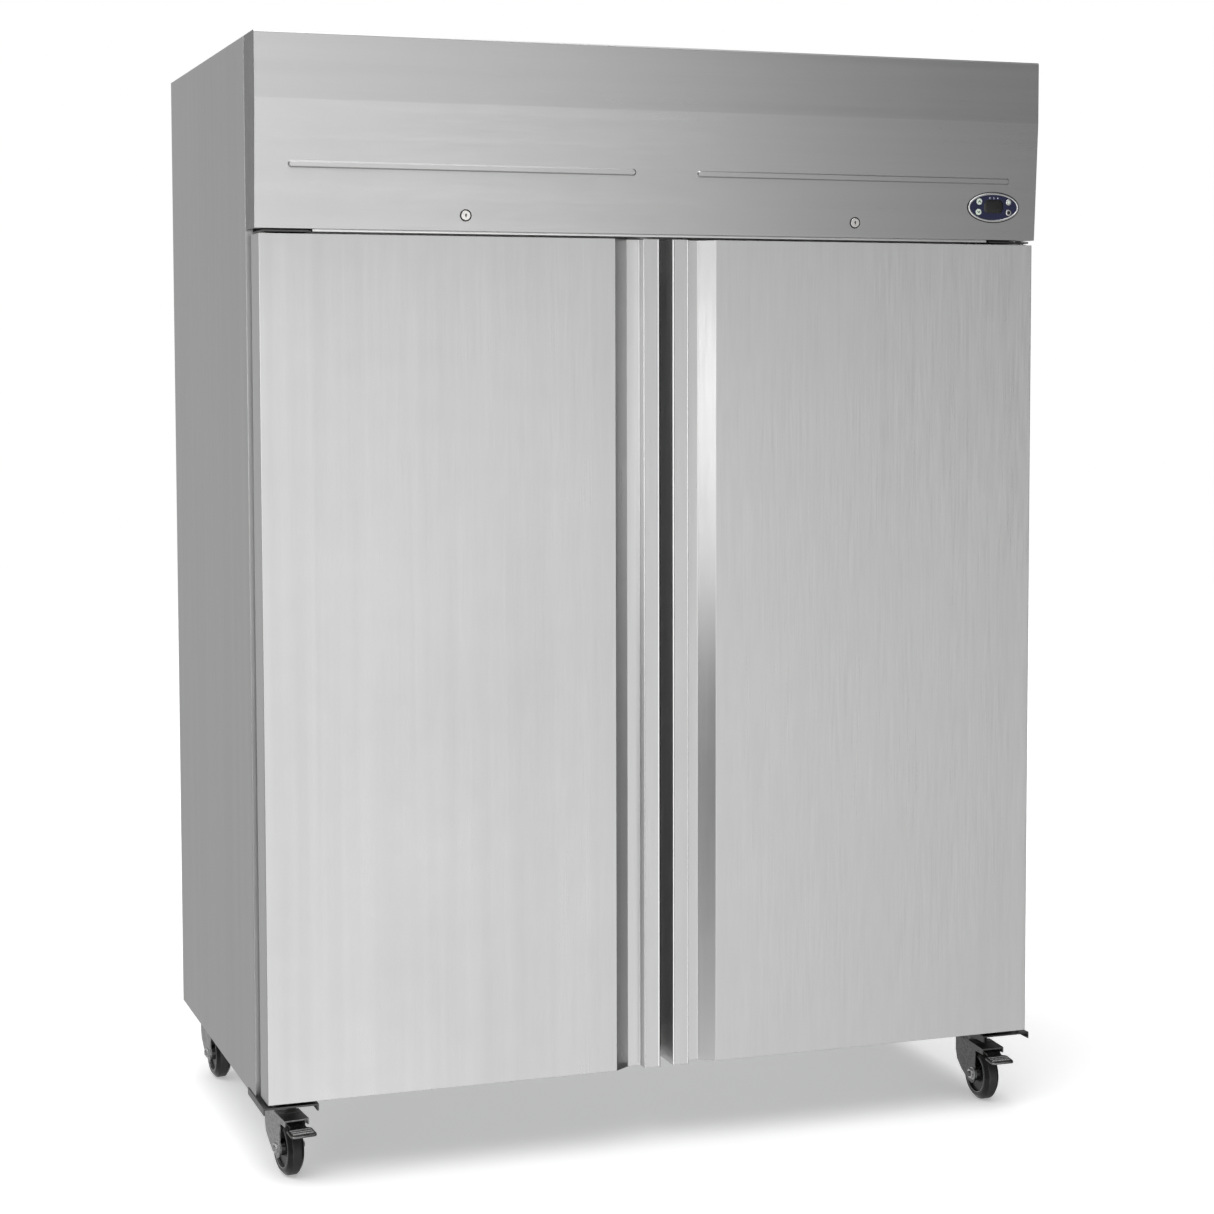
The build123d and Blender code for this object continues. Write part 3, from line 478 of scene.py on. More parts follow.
@dataclass(frozen=True)
class BareMetal(Finish):
    """Copper, chrome or aluminium with a cloudy tarnish."""

    metallic: float = 1.0
    tarnish: Colour = (0.3, 0.25, 0.2)
    cloud: float = 35.0
    amount: float = 0.4

    def fill(self, graph: Graph, surface: Mapping) -> None:
        """Cloud the metal with its tarnish."""
        rubbed, _ = self.grained(graph, surface, 700.0, 0.12)
        clouds = graph.remap(graph.noise(graph.place(), self.cloud, 4.0), 0.42, 0.7, (0.0, self.amount))
        dull = graph.mix(clouds, shade(self.colour, 1.0), shade(self.tarnish, 1.0))
        colour = graph.mix(rubbed, dull, shade(self.colour, 1.3))
        rough = graph.plus(graph.times(clouds, 0.4), self.roughness)
        self.settle(graph, surface, colour, rough)


DOOR_STEEL = BrushedSteel("door_steel", grey(0.67), 0.31)
SIDE_STEEL = BrushedSteel("side_steel", grey(0.6), 0.34, contrast=0.05)
HEADER_STEEL = BrushedSteel("header_steel", grey(0.63), 0.31, grain=Axis.X)
# stainless darkened to near black: painted dark reflection on the hinge brackets
BRACKET_SHADE_STEEL = BrushedSteel("bracket_shade_steel", grey(0.1), 0.34, dust=0.03, wear=1.0, grain=Axis.X)
# darker copy of the steel: painted shade in the gap between the doors
MULLION_SHADE_STEEL = BrushedSteel("mullion_shade_steel", grey(0.32), 0.4, dust=0.03)
# much darker copy of the header steel: painted shade on the header's side returns
RETURN_SHADE_STEEL = BrushedSteel("return_shade_steel", grey(0.13), 0.34, grain=Axis.X)
# lighter copy of the steel: painted highlight on the hem under the header
HEM_HIGHLIGHT_STEEL = BrushedSteel("hem_highlight_steel", grey(0.85), 0.3, grain=Axis.X)
LINER_STEEL = BrushedSteel("liner_steel", (0.6, 0.6, 0.595), 0.34, dust=0.04, grain=Axis.X)
BACK_STEEL = ZincCoat("back_steel", (0.52, 0.53, 0.54), 0.42, 0.9, scale=55.0, contrast=0.2)
GALVANISED = ZincCoat("galvanised", (0.5, 0.51, 0.52), 0.45, 0.9, scale=90.0)
ZINC = ZincCoat("zinc", grey(0.42), 0.4, 0.95, wear=0.9, scale=260.0, contrast=0.5)
# darker copy of the zinc: painted shade on the front right fork and the caster plates
SHADED_ZINC = ZincCoat("shaded_zinc", grey(0.15), 0.38, 0.95, wear=1.0, scale=300.0, contrast=0.7)
BRIGHT_ZINC = ZincCoat("bright_zinc", grey(0.62), 0.3, 1.0, wear=0.6, scale=500.0, contrast=0.2)
PEDAL_STEEL = ZincCoat("pedal_steel", grey(0.2), 0.36, 1.0, wear=1.0, scale=340.0, contrast=0.6)
CHROME_WIRE = BareMetal("chrome_wire", grey(0.78), 0.16, tarnish=(0.5, 0.49, 0.47), amount=0.25)
BRIGHT_CHROME = BareMetal("bright_chrome", (0.86, 0.86, 0.87), 0.1, tarnish=grey(0.6), amount=0.15)
LOCK_FACE = BareMetal("lock_face", (0.8, 0.79, 0.77), 0.22, tarnish=(0.55, 0.54, 0.52), cloud=400.0)
# near-white steel for the edge beads: painted highlight along door and panel edges
EDGE_HIGHLIGHT_STEEL = BareMetal("edge_highlight_steel", grey(0.92), 0.16, tarnish=grey(0.7), amount=0.1)
COPPER = BareMetal("copper", (0.72, 0.34, 0.2), 0.25, tarnish=(0.25, 0.12, 0.07), amount=0.6)
FINS = BareMetal("fins", (0.68, 0.69, 0.7), 0.32, tarnish=grey(0.4), amount=0.35, cloud=80.0)
FOAM = Moulded("foam", (0.72, 0.62, 0.38), 0.85, dust=0.1, scale=350.0, depth=0.8, rubbed=1.1)
SEAL = Moulded("seal", grey(0.008), 0.5, dust=0.05, wear=0.3, scale=500.0, depth=0.15, rubbed=2.2)
NYLON = Moulded("nylon", (0.78, 0.77, 0.72), 0.42, dust=0.08, scale=1100.0, depth=0.12, rubbed=1.1)
TYRE = Moulded("tyre", grey(0.004), 0.24, dust=0.03, wear=0.6, scale=700.0, depth=0.4, rubbed=3.5)
TREAD = Moulded(
    "tread", (0.018, 0.018, 0.0175), 0.5, dust=0.06, wear=0.2, scale=500.0, depth=0.5, rubbed=1.6,
)
BLACK_PLASTIC = Moulded("black_plastic", grey(0.006), 0.42, scale=1100.0, depth=0.25, rubbed=2.6)
NAVY_PLASTIC = Moulded(
    "navy_plastic", (0.004, 0.006, 0.042), 0.36, dust=0.01, scale=1500.0, depth=0.06, coat=0.1,
)
BLACK_PAINT = Moulded("black_paint", grey(0.01), 0.36, dust=0.1, scale=420.0, depth=0.35, rubbed=6.0)
GREY_BOX = Moulded("grey_box", (0.42, 0.43, 0.43), 0.5, dust=0.15, scale=900.0, depth=0.2, rubbed=1.3)
LENS = Moulded("display_lens", grey(0.006), 0.3, dust=0.01, wear=0.1, scale=60.0, depth=0.01, coat=0.1)
PALE_KEY = Moulded("pale_key", (0.56, 0.63, 0.56), 0.4, dust=0.02, scale=1300.0, depth=0.08, rubbed=1.2)
DARK_KEY = Moulded(
    "dark_key", (0.004, 0.005, 0.007), 0.35, dust=0.01, scale=1300.0, depth=0.08, rubbed=2.0,
)
MARKING = Moulded("marking", (0.5, 0.54, 0.6), 0.4, dust=0.02, scale=1300.0, depth=0.05, rubbed=1.1)


def dress(finish: Finish, *nodes: str) -> None:
    """Give whole CAD nodes one finish.

    Args:
        finish: the finish to put on.
        *nodes: names of the CAD nodes.
    """
    for name in nodes:
        mesh = frame["nodes"][name].data
        material = finish.material()
        if not mesh.materials:
            mesh.materials.append(material)
        for index in range(len(mesh.materials)):
            mesh.materials[index] = material
        LOG.info("dressed %s as %s", name, finish.name)


def middle(node: str) -> Vector:
    """Return the middle of a CAD node's box."""
    low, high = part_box(node)
    return (low + high) / 2


def ring(points: Iterable[tuple[float, float]], height: float) -> list[Vector]:
    """Return flat points lifted to a height, as one ring of a loft."""
    return [Vector((x, y, height)) for x, y in points]


def turns(steps: int) -> list[float]:
    """Return evenly spaced angles of one turn."""
    return [math.tau * step / steps for step in range(steps)]


def oval(half_x: float, half_y: float, height: float, steps: int = 24) -> list[Vector]:
    """Return an oval ring."""
    return ring(((half_x * math.cos(turn), half_y * math.sin(turn)) for turn in turns(steps)), height)


def circle(radius: float, height: float, steps: int = 24) -> list[Vector]:
    """Return a round ring."""
    return oval(radius, radius, height, steps)


def hexagon(across: float, height: float, steps: int = 24) -> list[Vector]:
    """Return a six-sided ring, given its size across the flats."""
    points = []
    for turn in turns(steps):
        reach = across / 2 / math.cos((turn + math.pi / 6) % (math.pi / 3) - math.pi / 6)
        points.append((reach * math.cos(turn), reach * math.sin(turn)))
    return ring(points, height)


def cross(reach: float, arm: float, height: float) -> list[Vector]:
    """Return a ring round a cross, with two points on each of its twelve edges."""
    corners = []
    for quarter in range(4):
        turn = Matrix.Rotation(quarter * math.pi / 2, 2)
        corners += [turn @ Vector(point) for point in ((reach, -arm), (reach, arm), (arm, arm))]
    points = []
    for first, second in zip(corners, corners[1:] + corners[:1]):
        points += [first, (first + second) / 2]
    return ring(((point.x, point.y) for point in points), height)


def rounded(half_x: float, half_y: float, corner: float, height: float, steps: int = 8) -> list[Vector]:
    """Return a ring round a rectangle with round corners."""
    points = []
    for quarter, (side_x, side_y) in enumerate(((1, 1), (-1, 1), (-1, -1), (1, -1))):
        for step in range(steps):
            turn = (quarter + step / (steps - 1)) * math.pi / 2
            x = side_x * (half_x - corner) + corner * math.cos(turn)
            points.append((x, side_y * (half_y - corner) + corner * math.sin(turn)))
    return ring(points, height)


def frame_at(
    origin: Sequence[float], up: Sequence[float], across: Sequence[float] = (1, 0, 0),
) -> Matrix:
    """Return the placing matrix of a shape that stands on a point.

    Args:
        origin: where the shape's own origin goes, in metres.
        up: direction of the shape's own height.
        across: rough direction of the shape's own first axis.

    Returns:
        The matrix from the shape's millimetres to the frame's metres.
    """
    z = Vector(up).normalized()
    x = (Vector(across) - z * Vector(across).dot(z)).normalized()
    y = z.cross(x)
    turn = Matrix((x, y, z)).transposed().to_4x4()
    return Matrix.Translation(Vector(origin)) @ turn @ Matrix.Scale(MM, 4)


class Builder:
    """Collects lofted shapes, in millimetres, into the mesh of one piece."""

    def __init__(self) -> None:
        """Start with an empty mesh."""
        self.mesh = bmesh.new()

    def loft(self, place: Matrix, *rings: Sequence[Vector], caps: bool = True) -> None:
        """Join rings of the same length into a closed skin.

        Args:
            place: matrix that places the shape.
            *rings: the rings, in order.
            caps: whether the first and last ring are filled in.
        """
        rows = [[self.mesh.verts.new(place @ point) for point in points] for points in rings]
        for low, high in zip(rows, rows[1:]):
            for index in range(len(low)):
                after = (index + 1) % len(low)
                self.mesh.faces.new((low[index], low[after], high[after], high[index]))
        if caps:
            self.mesh.faces.new(tuple(reversed(rows[0])))
            self.mesh.faces.new(tuple(rows[-1]))

    def torus(self, place: Matrix, radius: float, thickness: float, steps: int = 48) -> None:
        """Add a round ring of wire."""
        rows = []
        for turn in turns(12):
            rows.append(circle(radius + thickness * math.cos(turn), thickness * math.sin(turn), steps))
        self.loft(place, *rows, rows[0], caps=False)

    def tube(self, points: Sequence[Vector], radius: float, steps: int = 10) -> None:
        """Add a round rod along points given in metres."""
        rows = []
        for index, point in enumerate(points):
            ahead = points[min(index + 1, len(points) - 1)] - points[max(index - 1, 0)]
            place = frame_at(point, ahead, (0.1, 0.3, 1.0))
            rows.append([place @ corner for corner in circle(radius, 0.0, steps)])
        self.loft(Matrix.Identity(4), *rows)

    def piece(
        self, name: str, finish: Finish, body: str, stands_for: Sequence[str] = (),
    ) -> None:
        """Turn the collected shapes into a piece.

        Args:
            name: the piece's name.
            finish: its finish.
            body: the body that it rides on.
            stands_for: CAD nodes that it replaces.
        """
        bmesh.ops.remove_doubles(self.mesh, verts=self.mesh.verts, dist=1e-7)
        bmesh.ops.recalc_face_normals(self.mesh, faces=self.mesh.faces)
        data = bpy.data.meshes.new(name)
        self.mesh.to_mesh(data)
        self.mesh.free()
        data.materials.append(finish.material())
        data.shade_smooth()
        data.set_sharp_from_angle(angle=math.radians(35))
        made = bpy.data.objects.new(name, data)
        bpy.context.scene.collection.objects.link(made)
        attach(made, body)
        if stands_for:
            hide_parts(*stands_for)
        LOG.info("piece %s: %d faces, rides %s", name, len(data.polygons), body)


@dataclass(frozen=True)
class Head:
    """The head of a screw or bolt; the size is its radius, or half its width across the flats."""

    size: float
    rise: float
    recess: Recess = Recess.CROSS

    def drive(
        self, builder: Builder, up: Sequence[float], seats: Iterable[Sequence[float]],
        across: Sequence[float] = Axis.X.value,
    ) -> None:
        """Put a head on every seat.

        Args:
            builder: the mesh that the heads go into.
            up: direction that the heads stand in.
            seats: the points that they sit on.
            across: rough direction of the heads' own first axis.
        """
        for seat in seats:
            place = frame_at(seat, up, across)
            for rings in self.washer_and_nut() if self.recess is Recess.HEXAGON else (self.pan(),):
                builder.loft(place, *rings)

    def washer_and_nut(self) -> tuple[Rings, Rings]:
        """Return the rings of a washer and of a six-sided head on it."""
        size, rise = self.size, self.rise
        washer = [circle(size * 1.35, -0.2), circle(size * 1.35, 0.8), circle(size * 1.3, 1.0)]
        nut = [hexagon(2 * size, 0.9), hexagon(2 * size, rise * 0.86)]
        return washer, [*nut, circle(size * 0.97, rise), circle(size * 0.8, rise)]

    def pan(self) -> Rings:
        """Return the rings of a round head with a cross cut into it."""
        size, rise = self.size, self.rise
        rings = [circle(size, -0.2), circle(size, 0.15), circle(size * 0.9, rise * 0.6)]
        rings.append(circle(size * 0.7, rise * 0.9))
        reach, arm = size * 0.52, size * 0.13
        return [*rings, cross(reach, arm, rise), cross(reach * 0.9, arm * 0.8, rise * 0.25)]


PANEL_SCREW = Head(4.0, 2.0)
UPRIGHT_SCREW = Head(4.5, 2.2)
AXLE_NUT = Head(8.9, 6.6, Recess.HEXAGON)
PLATE_BOLT = Head(5.5, 4.5, Recess.HEXAGON)
FOOT_BOLT = Head(6.5, 5.0, Recess.HEXAGON)
SCREW_INSET = 0.014


def joint(name: str) -> dict:
    """Return a joint of the record by name."""
    return next(entry for entry in frame["joints"] if entry["name"] == name)


# ------------------------------------------------------------------ studio
@dataclass(frozen=True)
class Card:
    """A soft bright or dark patch of the surroundings, as reflections see it."""

    azimuth: float
    elevation: float
    half_width: float
    half_height: float
    softness: float
    level: float


@dataclass
class Studio:
    """Camera, floor, surroundings and lights."""

    position: Point = (-1.5762, -4.5816, 1.4161)
    yaw: float = 19.31
    pitch: float = 3.78
    roll: float = 0.134
    lens: float = 73.887
    shift: float = -0.06
    backdrop: float = 1.0
    floor_radius: float = 14.0
    floor_glow: float = 0.34
    cards: tuple[Card, ...] = (
        Card(-20, -12, 41.5, 21, 6, 1.42),
        Card(-55, -9.4, 27, 6.6, 2.6, 0.05),
        Card(92, 10, 50, 60, 14, 0.05),
        Card(-160, 0, 45, 60, 20, 0.56),
    )
    ground_level: float = 0.42
    sky_level: float = 0.18
    zenith_level: float = 2.1

    def build(self) -> None:
        """Make everything that isn't the refrigerator."""
        self.camera()
        self.floor()
        self.surroundings()
        self.lights()
        view = bpy.context.scene.view_settings
        view.view_transform = "Standard"

    def camera(self) -> None:
        """Put the camera where the front view is taken from."""
        data = bpy.data.cameras.new("front_camera")
        data.sensor_width = 36.0
        data.lens = self.lens
        data.shift_y = self.shift
        camera = bpy.data.objects.new("front_camera", data)
        bpy.context.scene.collection.objects.link(camera)
        camera.location = self.position
        heading = Matrix.Rotation(math.radians(-self.yaw), 4, "Z")
        tilt = Matrix.Rotation(math.radians(90.0 - self.pitch), 4, "X")
        lean = Matrix.Rotation(math.radians(-self.roll), 4, "Z")
        camera.rotation_euler = (heading @ tilt @ lean).to_euler()
        bpy.context.scene.camera = camera

    def floor(self) -> None:
        """Lay a plain pale floor that fades out into the backdrop."""
        bpy.ops.mesh.primitive_circle_add(vertices=96, radius=self.floor_radius, fill_type="NGON")
        floor = bpy.context.object
        floor.name = "floor"
        floor.visible_glossy = False
        material = bpy.data.materials.new("pale_floor")
        graph = cleared(material)
        paint = graph.node(
            "ShaderNodeBsdfPrincipled",
            {
                "Base Color": (0.9, 0.9, 0.9, 1.0), "Roughness": 0.9,
                "Emission Color": (1.0, 1.0, 1.0, 1.0), "Emission Strength": self.floor_glow,
            },
        )
        away = graph.vector("LENGTH", graph.place())
        fade = graph.remap(away, self.floor_radius * 0.3, self.floor_radius * 0.95)
        clear = graph.node("ShaderNodeBsdfTransparent")
        mixed = graph.node("ShaderNodeMixShader", {0: fade, 1: paint.outputs[0], 2: clear.outputs[0]})
        graph.node("ShaderNodeOutputMaterial", {"Surface": mixed.outputs[0]})
        floor.data.materials.append(material)

    def card_mask(self, graph: Graph, direction: Socket, card: Card) -> Socket:
        """Return how much of a card is seen in a direction.

        Args:
            graph: the surroundings' tree.
            direction: the direction looked along.
            card: the card.

        Returns:
            One inside the card, falling softly to zero round it.
        """
        yaw, lift = math.radians(card.azimuth), math.radians(card.elevation)
        facing = Vector((math.sin(yaw) * math.cos(lift), -math.cos(yaw) * math.cos(lift), math.sin(lift)))
        right = Vector((math.cos(yaw), math.sin(yaw), 0.0))
        up = right.cross(facing) if right.cross(facing).z > 0 else facing.cross(right)
        ahead = graph.vector("DOT_PRODUCT", direction, tuple(facing))
        masks = []
        for side, half in ((right, card.half_width), (up, card.half_height)):
            off = graph.vector("DOT_PRODUCT", direction, tuple(side))
            angle = graph.maths("ABSOLUTE", graph.maths("ARCTAN2", off, ahead))
            outer, inner = math.radians(half + card.softness), math.radians(half - card.softness)
            masks.append(graph.remap(angle, outer, inner))
        return graph.times(*masks)

    def surroundings(self) -> None:
        """Light the scene from a soft room, and show a plain backdrop to the camera."""
        world = bpy.data.worlds.new("studio")
        graph = cleared(world)
        direction = graph.node("ShaderNodeTexCoord").outputs["Generated"]
        height = graph.node("ShaderNodeSeparateXYZ", {0: direction}).outputs["Z"]
        level = graph.remap(height, -0.12, 0.05, (self.ground_level, self.sky_level))
        high = graph.remap(height, 0.55, 0.8)
        level = graph.plus(level, graph.times(high, self.zenith_level))
        for card in self.cards:
            mask = self.card_mask(graph, direction, card)
            change = graph.times(mask, graph.minus(card.level, level))
            level = graph.plus(level, change)
        seen = graph.node("ShaderNodeLightPath").outputs["Is Camera Ray"]
        shown = graph.plus(level, graph.times(seen, graph.minus(self.backdrop, level)))
        glow = graph.node("ShaderNodeBackground", {"Color": (1.0, 1.0, 1.0, 1.0), "Strength": shown})
        graph.node("ShaderNodeOutputWorld", {"Surface": glow.outputs[0]})
        bpy.context.scene.world = world

    def lights(self) -> None:
        """Hang soft lamps that give small parts their highlights."""
        for name, place, size, power in (
            ("overhead", (-1.2, -2.6, 4.2), 2.4, 25.0),
            ("low_left", (-3.2, -3.4, 1.1), 1.2, 8.0),
        ):
            data = bpy.data.lights.new(name, "AREA")
            data.size, data.energy = size, power
            lamp = bpy.data.objects.new(name, data)
            bpy.context.scene.collection.objects.link(lamp)
            lamp.location = place
            aim = Vector((0.0, 0.0, 0.9)) - Vector(place)
            lamp.rotation_euler = aim.to_track_quat("-Z", "Y").to_euler()
            lamp.visible_camera = False


# ------------------------------------------------------------------ refrigerator
def spread(low: float, high: float, count: int) -> list[float]:
    """Return evenly spaced places from low to high."""
    return [low + (high - low) * step / (count - 1) for step in range(count)]


@dataclass
class CabinetShell:
    """Outer panels, insulated box and its frame."""

    bead_radius: float = 1.7
    bead_shift: tuple[float, float] = (0.0014, 0.0012)
    upright: tuple[float, float] = (0.012, 0.025)
    upright_margin: float = 0.03

    def build(self) -> None:
        """Dress the shell's panels and drive their screws."""
        dress(SIDE_STEEL, "side_panel_left", "side_panel_right")
        dress(BACK_STEEL, "back_panel", "rear_grille", "base_panel", "machine_deck", "roof_panel")
        dress(LINER_STEEL, "inner_liner", "face_frame")
        # mullion darkened as painted shade in the gap between the doors
        dress(MULLION_SHADE_STEEL, "centre_mullion")
        dress(FOAM, "wall_insulation")
        # hinge brackets in near-black stainless: painted dark reflection
        dress(BRACKET_SHADE_STEEL, "hinge_brackets")
        dress(ZINC, "hinge_pins")
        # caster plates in the darker zinc copy: painted shade under the cabinet
        dress(SHADED_ZINC, "caster_plates")
        self.side_beads()
        self.back_screws()
        self.roof_screws()
        self.upright_screws()

    def side_beads(self) -> None:
        """Roll a bright bead down the front corner of each side panel, behind the header: a painted
        highlight along the corner.
        """
        builder = Builder()
        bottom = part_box("header_panel")[0].z
        for side, sign in SIDES.items():
            low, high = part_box(f"side_panel_{side}")
            x = (low.x if sign < 0 else high.x) - sign * self.bead_shift[0]
            heights = (bottom, bottom + MM, high.z - MM, high.z)
            bead = [Vector((x, low.y + self.bead_shift[1], z)) for z in heights]
            builder.tube(bead, self.bead_radius, 16)
        builder.piece("side_beads", EDGE_HIGHLIGHT_STEEL, "cabinet")

    def back_screws(self) -> None:
        """Screw the back panel and the rear grille to the cabinet."""
        builder = Builder()
        for node, across, up in (("back_panel", 7, 8), ("rear_grille", 7, 3)):
            low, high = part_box(node)
            left, right = low.x + SCREW_INSET, high.x - SCREW_INSET
            bottom, top = low.z + SCREW_INSET, high.z - SCREW_INSET
            places = [(x, z) for x in spread(left, right, across) for z in (bottom, top)]
            places += [(x, z) for x in (left, right) for z in spread(bottom, top, up)[1:-1]]
            PANEL_SCREW.drive(builder, Axis.Y.value, [(x, high.y, z) for x, z in places])
        builder.piece("back_screws", ZINC, "cabinet")

    def roof_screws(self) -> None:
        """Screw the roof panel down along its sides and back."""
        builder = Builder()
        low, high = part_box("roof_panel")
        left, right = low.x + SCREW_INSET, high.x - SCREW_INSET
        front, back = low.y + SCREW_INSET, high.y - SCREW_INSET
        places = [(x, y, high.z) for x in (left, right) for y in spread(front, back, 4)]
        places += [(x, back, high.z) for x in spread(left, right, 7)[1:-1]]
        PANEL_SCREW.drive(builder, Axis.Z.value, places)
        builder.piece("roof_screws", ZINC, "cabinet")

    def upright_screws(self) -> None:
        """Screw the shelf uprights to the liner."""
        builder = Builder()
        low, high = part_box("shelf_uprights")
        thick, half = self.upright[0], self.upright[1] / 2
        rows = spread(low.z + self.upright_margin, high.z - self.upright_margin, 4)
        for side, facing in ((low.x, 1.0), (high.x, -1.0)):
            seats = [(side + facing * thick, y, z) for y in (low.y + half, high.y - half) for z in rows]
            UPRIGHT_SCREW.drive(builder, (facing, 0, 0), seats, Axis.Z.value)
        builder.piece("upright_screws", ZINC, "cabinet")


@dataclass
class Doors:
    """The two doors with their seals and bushes."""

    lip_width: float = 0.8
    lip_insets: tuple[float, float] = (7.0, 11.5)
    lip_corner: float = 5.0
    beads: tuple[tuple[float, float], ...] = ((2.8, 2.8), (29.8, 1.4))
    bead_stands_out: float = 0.3

    def build(self) -> None:
        """Dress both doors and add the ribs of their seals."""
        for side in SIDES:
            dress(DOOR_STEEL, f"door_skin_{side}")
            dress(LINER_STEEL, f"door_liner_{side}")
            dress(FOAM, f"door_core_{side}")
            dress(SEAL, f"door_gasket_{side}")
            dress(NYLON, f"door_bushes_{side}")
            self.seal_ribs(side)
            self.nose_beads(side)

    def nose_beads(self, side: str) -> None:
        """Lay a bright bead along each of the two long rounded edges of a door's handle strip: a painted
        highlight along each edge.
        """
        builder = Builder()
        low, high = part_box(f"door_skin_{side}")
        sign = SIDES[side]
        inner = low.x if sign > 0 else high.x
        heights = (low.z + 0.8 * MM, low.z + 2 * MM, high.z - 2 * MM, high.z - 0.8 * MM)
        for offset, radius in self.beads:
            x = inner + sign * (offset - self.bead_stands_out) * MM
            y = low.y + (radius - self.bead_stands_out) * MM
            builder.tube([Vector((x, y, z)) for z in heights], radius, 16)
        builder.piece(f"nose_beads_{side}", EDGE_HIGHLIGHT_STEEL, f"door_{side}")

    def seal_ribs(self, side: str) -> None:
        """Run two raised ribs round the face of a door's magnetic seal."""
        builder = Builder()
        low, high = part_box(f"door_gasket_{side}")
        centre, half = (low + high) / 2, (high - low) / 2
        width = self.lip_width
        profile = ((width, -0.4), (width, 0.1), (0.2, 0.3), (-0.2, 0.3), (-width, -0.4))
        place = frame_at((centre.x, high.y, centre.z), Axis.Y.value)
        for inset in self.lip_insets:
            half_x, half_z = half.x / MM - inset, half.z / MM - inset
            rows = [rounded(half_x + out, half_z + out, self.lip_corner, rise) for out, rise in profile]
            builder.loft(place, *rows, caps=False)
        builder.piece(f"seal_ribs_{side}", SEAL, f"door_{side}")


@dataclass
class Fascia:
    """The leaning header panel with its locks."""

    hem_short: float = 0.094
    hem_drop: float = 0.0048
    hem_forward: float = 0.0024
    hem_depth: float = 0.004
    slot_widths: tuple[float, float] = (1.7, 1.1)
    slot_half: float = 3.3
    cylinder_proud: float = 0.00152

    def build(self) -> None:
        """Dress the header and its locks."""
        dress(HEADER_STEEL, "header_panel")
        self.returns()
        self.hem()
        dress(BLACK_PLASTIC, "lock_housings")
        for side in SIDES:
            dress(LOCK_FACE, f"lock_cylinder_{side}")
            self.keyway(side)

    def returns(self) -> None:
        """Give the panel's folded side returns a much darker, cross-brushed copy of the steel: painted shade
        on the side faces.
        """
        mesh = frame["nodes"]["header_panel"].data
        mesh.materials.append(RETURN_SHADE_STEEL.material())
        for face in mesh.polygons:
            if abs(face.normal.x) > 0.9:
                face.material_index = len(mesh.materials) - 1

    def hem(self) -> None:
        """Fold a hem under the panel's lower edge, between the upper hinge plates, in a lighter copy of the
        steel: a painted highlight along the strip.
        """
        builder = Builder()
        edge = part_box("header_panel")[0].z
        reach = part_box("door_skin_right")[1].x - self.hem_short
        gap = 0.4 * MM
        top, bottom = edge - gap, edge - self.hem_drop
        front = joint("lock_left_turn")["pos_m"][1] + self.hem_forward
        back = front + self.hem_depth
        profile = [(front, top), (front - gap, top - MM), (front - gap, bottom + MM), (front, bottom)]
        profile += [(back, bottom), (back, top)]
        rows = [[Vector((x, y, z)) for y, z in profile] for x in (-reach, 0.0, reach)]
        builder.loft(Matrix.Identity(4), *rows)
        builder.piece("header_hem", HEM_HIGHLIGHT_STEEL, "header")

    def keyway(self, side: str) -> None:
        """Lay a dark teardrop on a lock's face where the key slot is: painted shade in the slot."""
        turning = joint(f"lock_{side}_turn")
        inward = Vector(turning["axis"])
        face = Vector(turning["pos_m"]) - inward * self.cylinder_proud
        builder = Builder()
        drop = []
        for turn in turns(24):
            width = self.slot_widths[0 if math.sin(turn) > 0 else 1]
            drop.append((width * math.cos(turn), self.slot_half * math.sin(turn)))
        builder.loft(frame_at(face, -inward), ring(drop, -0.5), ring(drop, 0.12))
        # black teardrop: painted shade of the key slot
        builder.piece(f"keyway_{side}", BLACK_PLASTIC, f"lock_{side}")


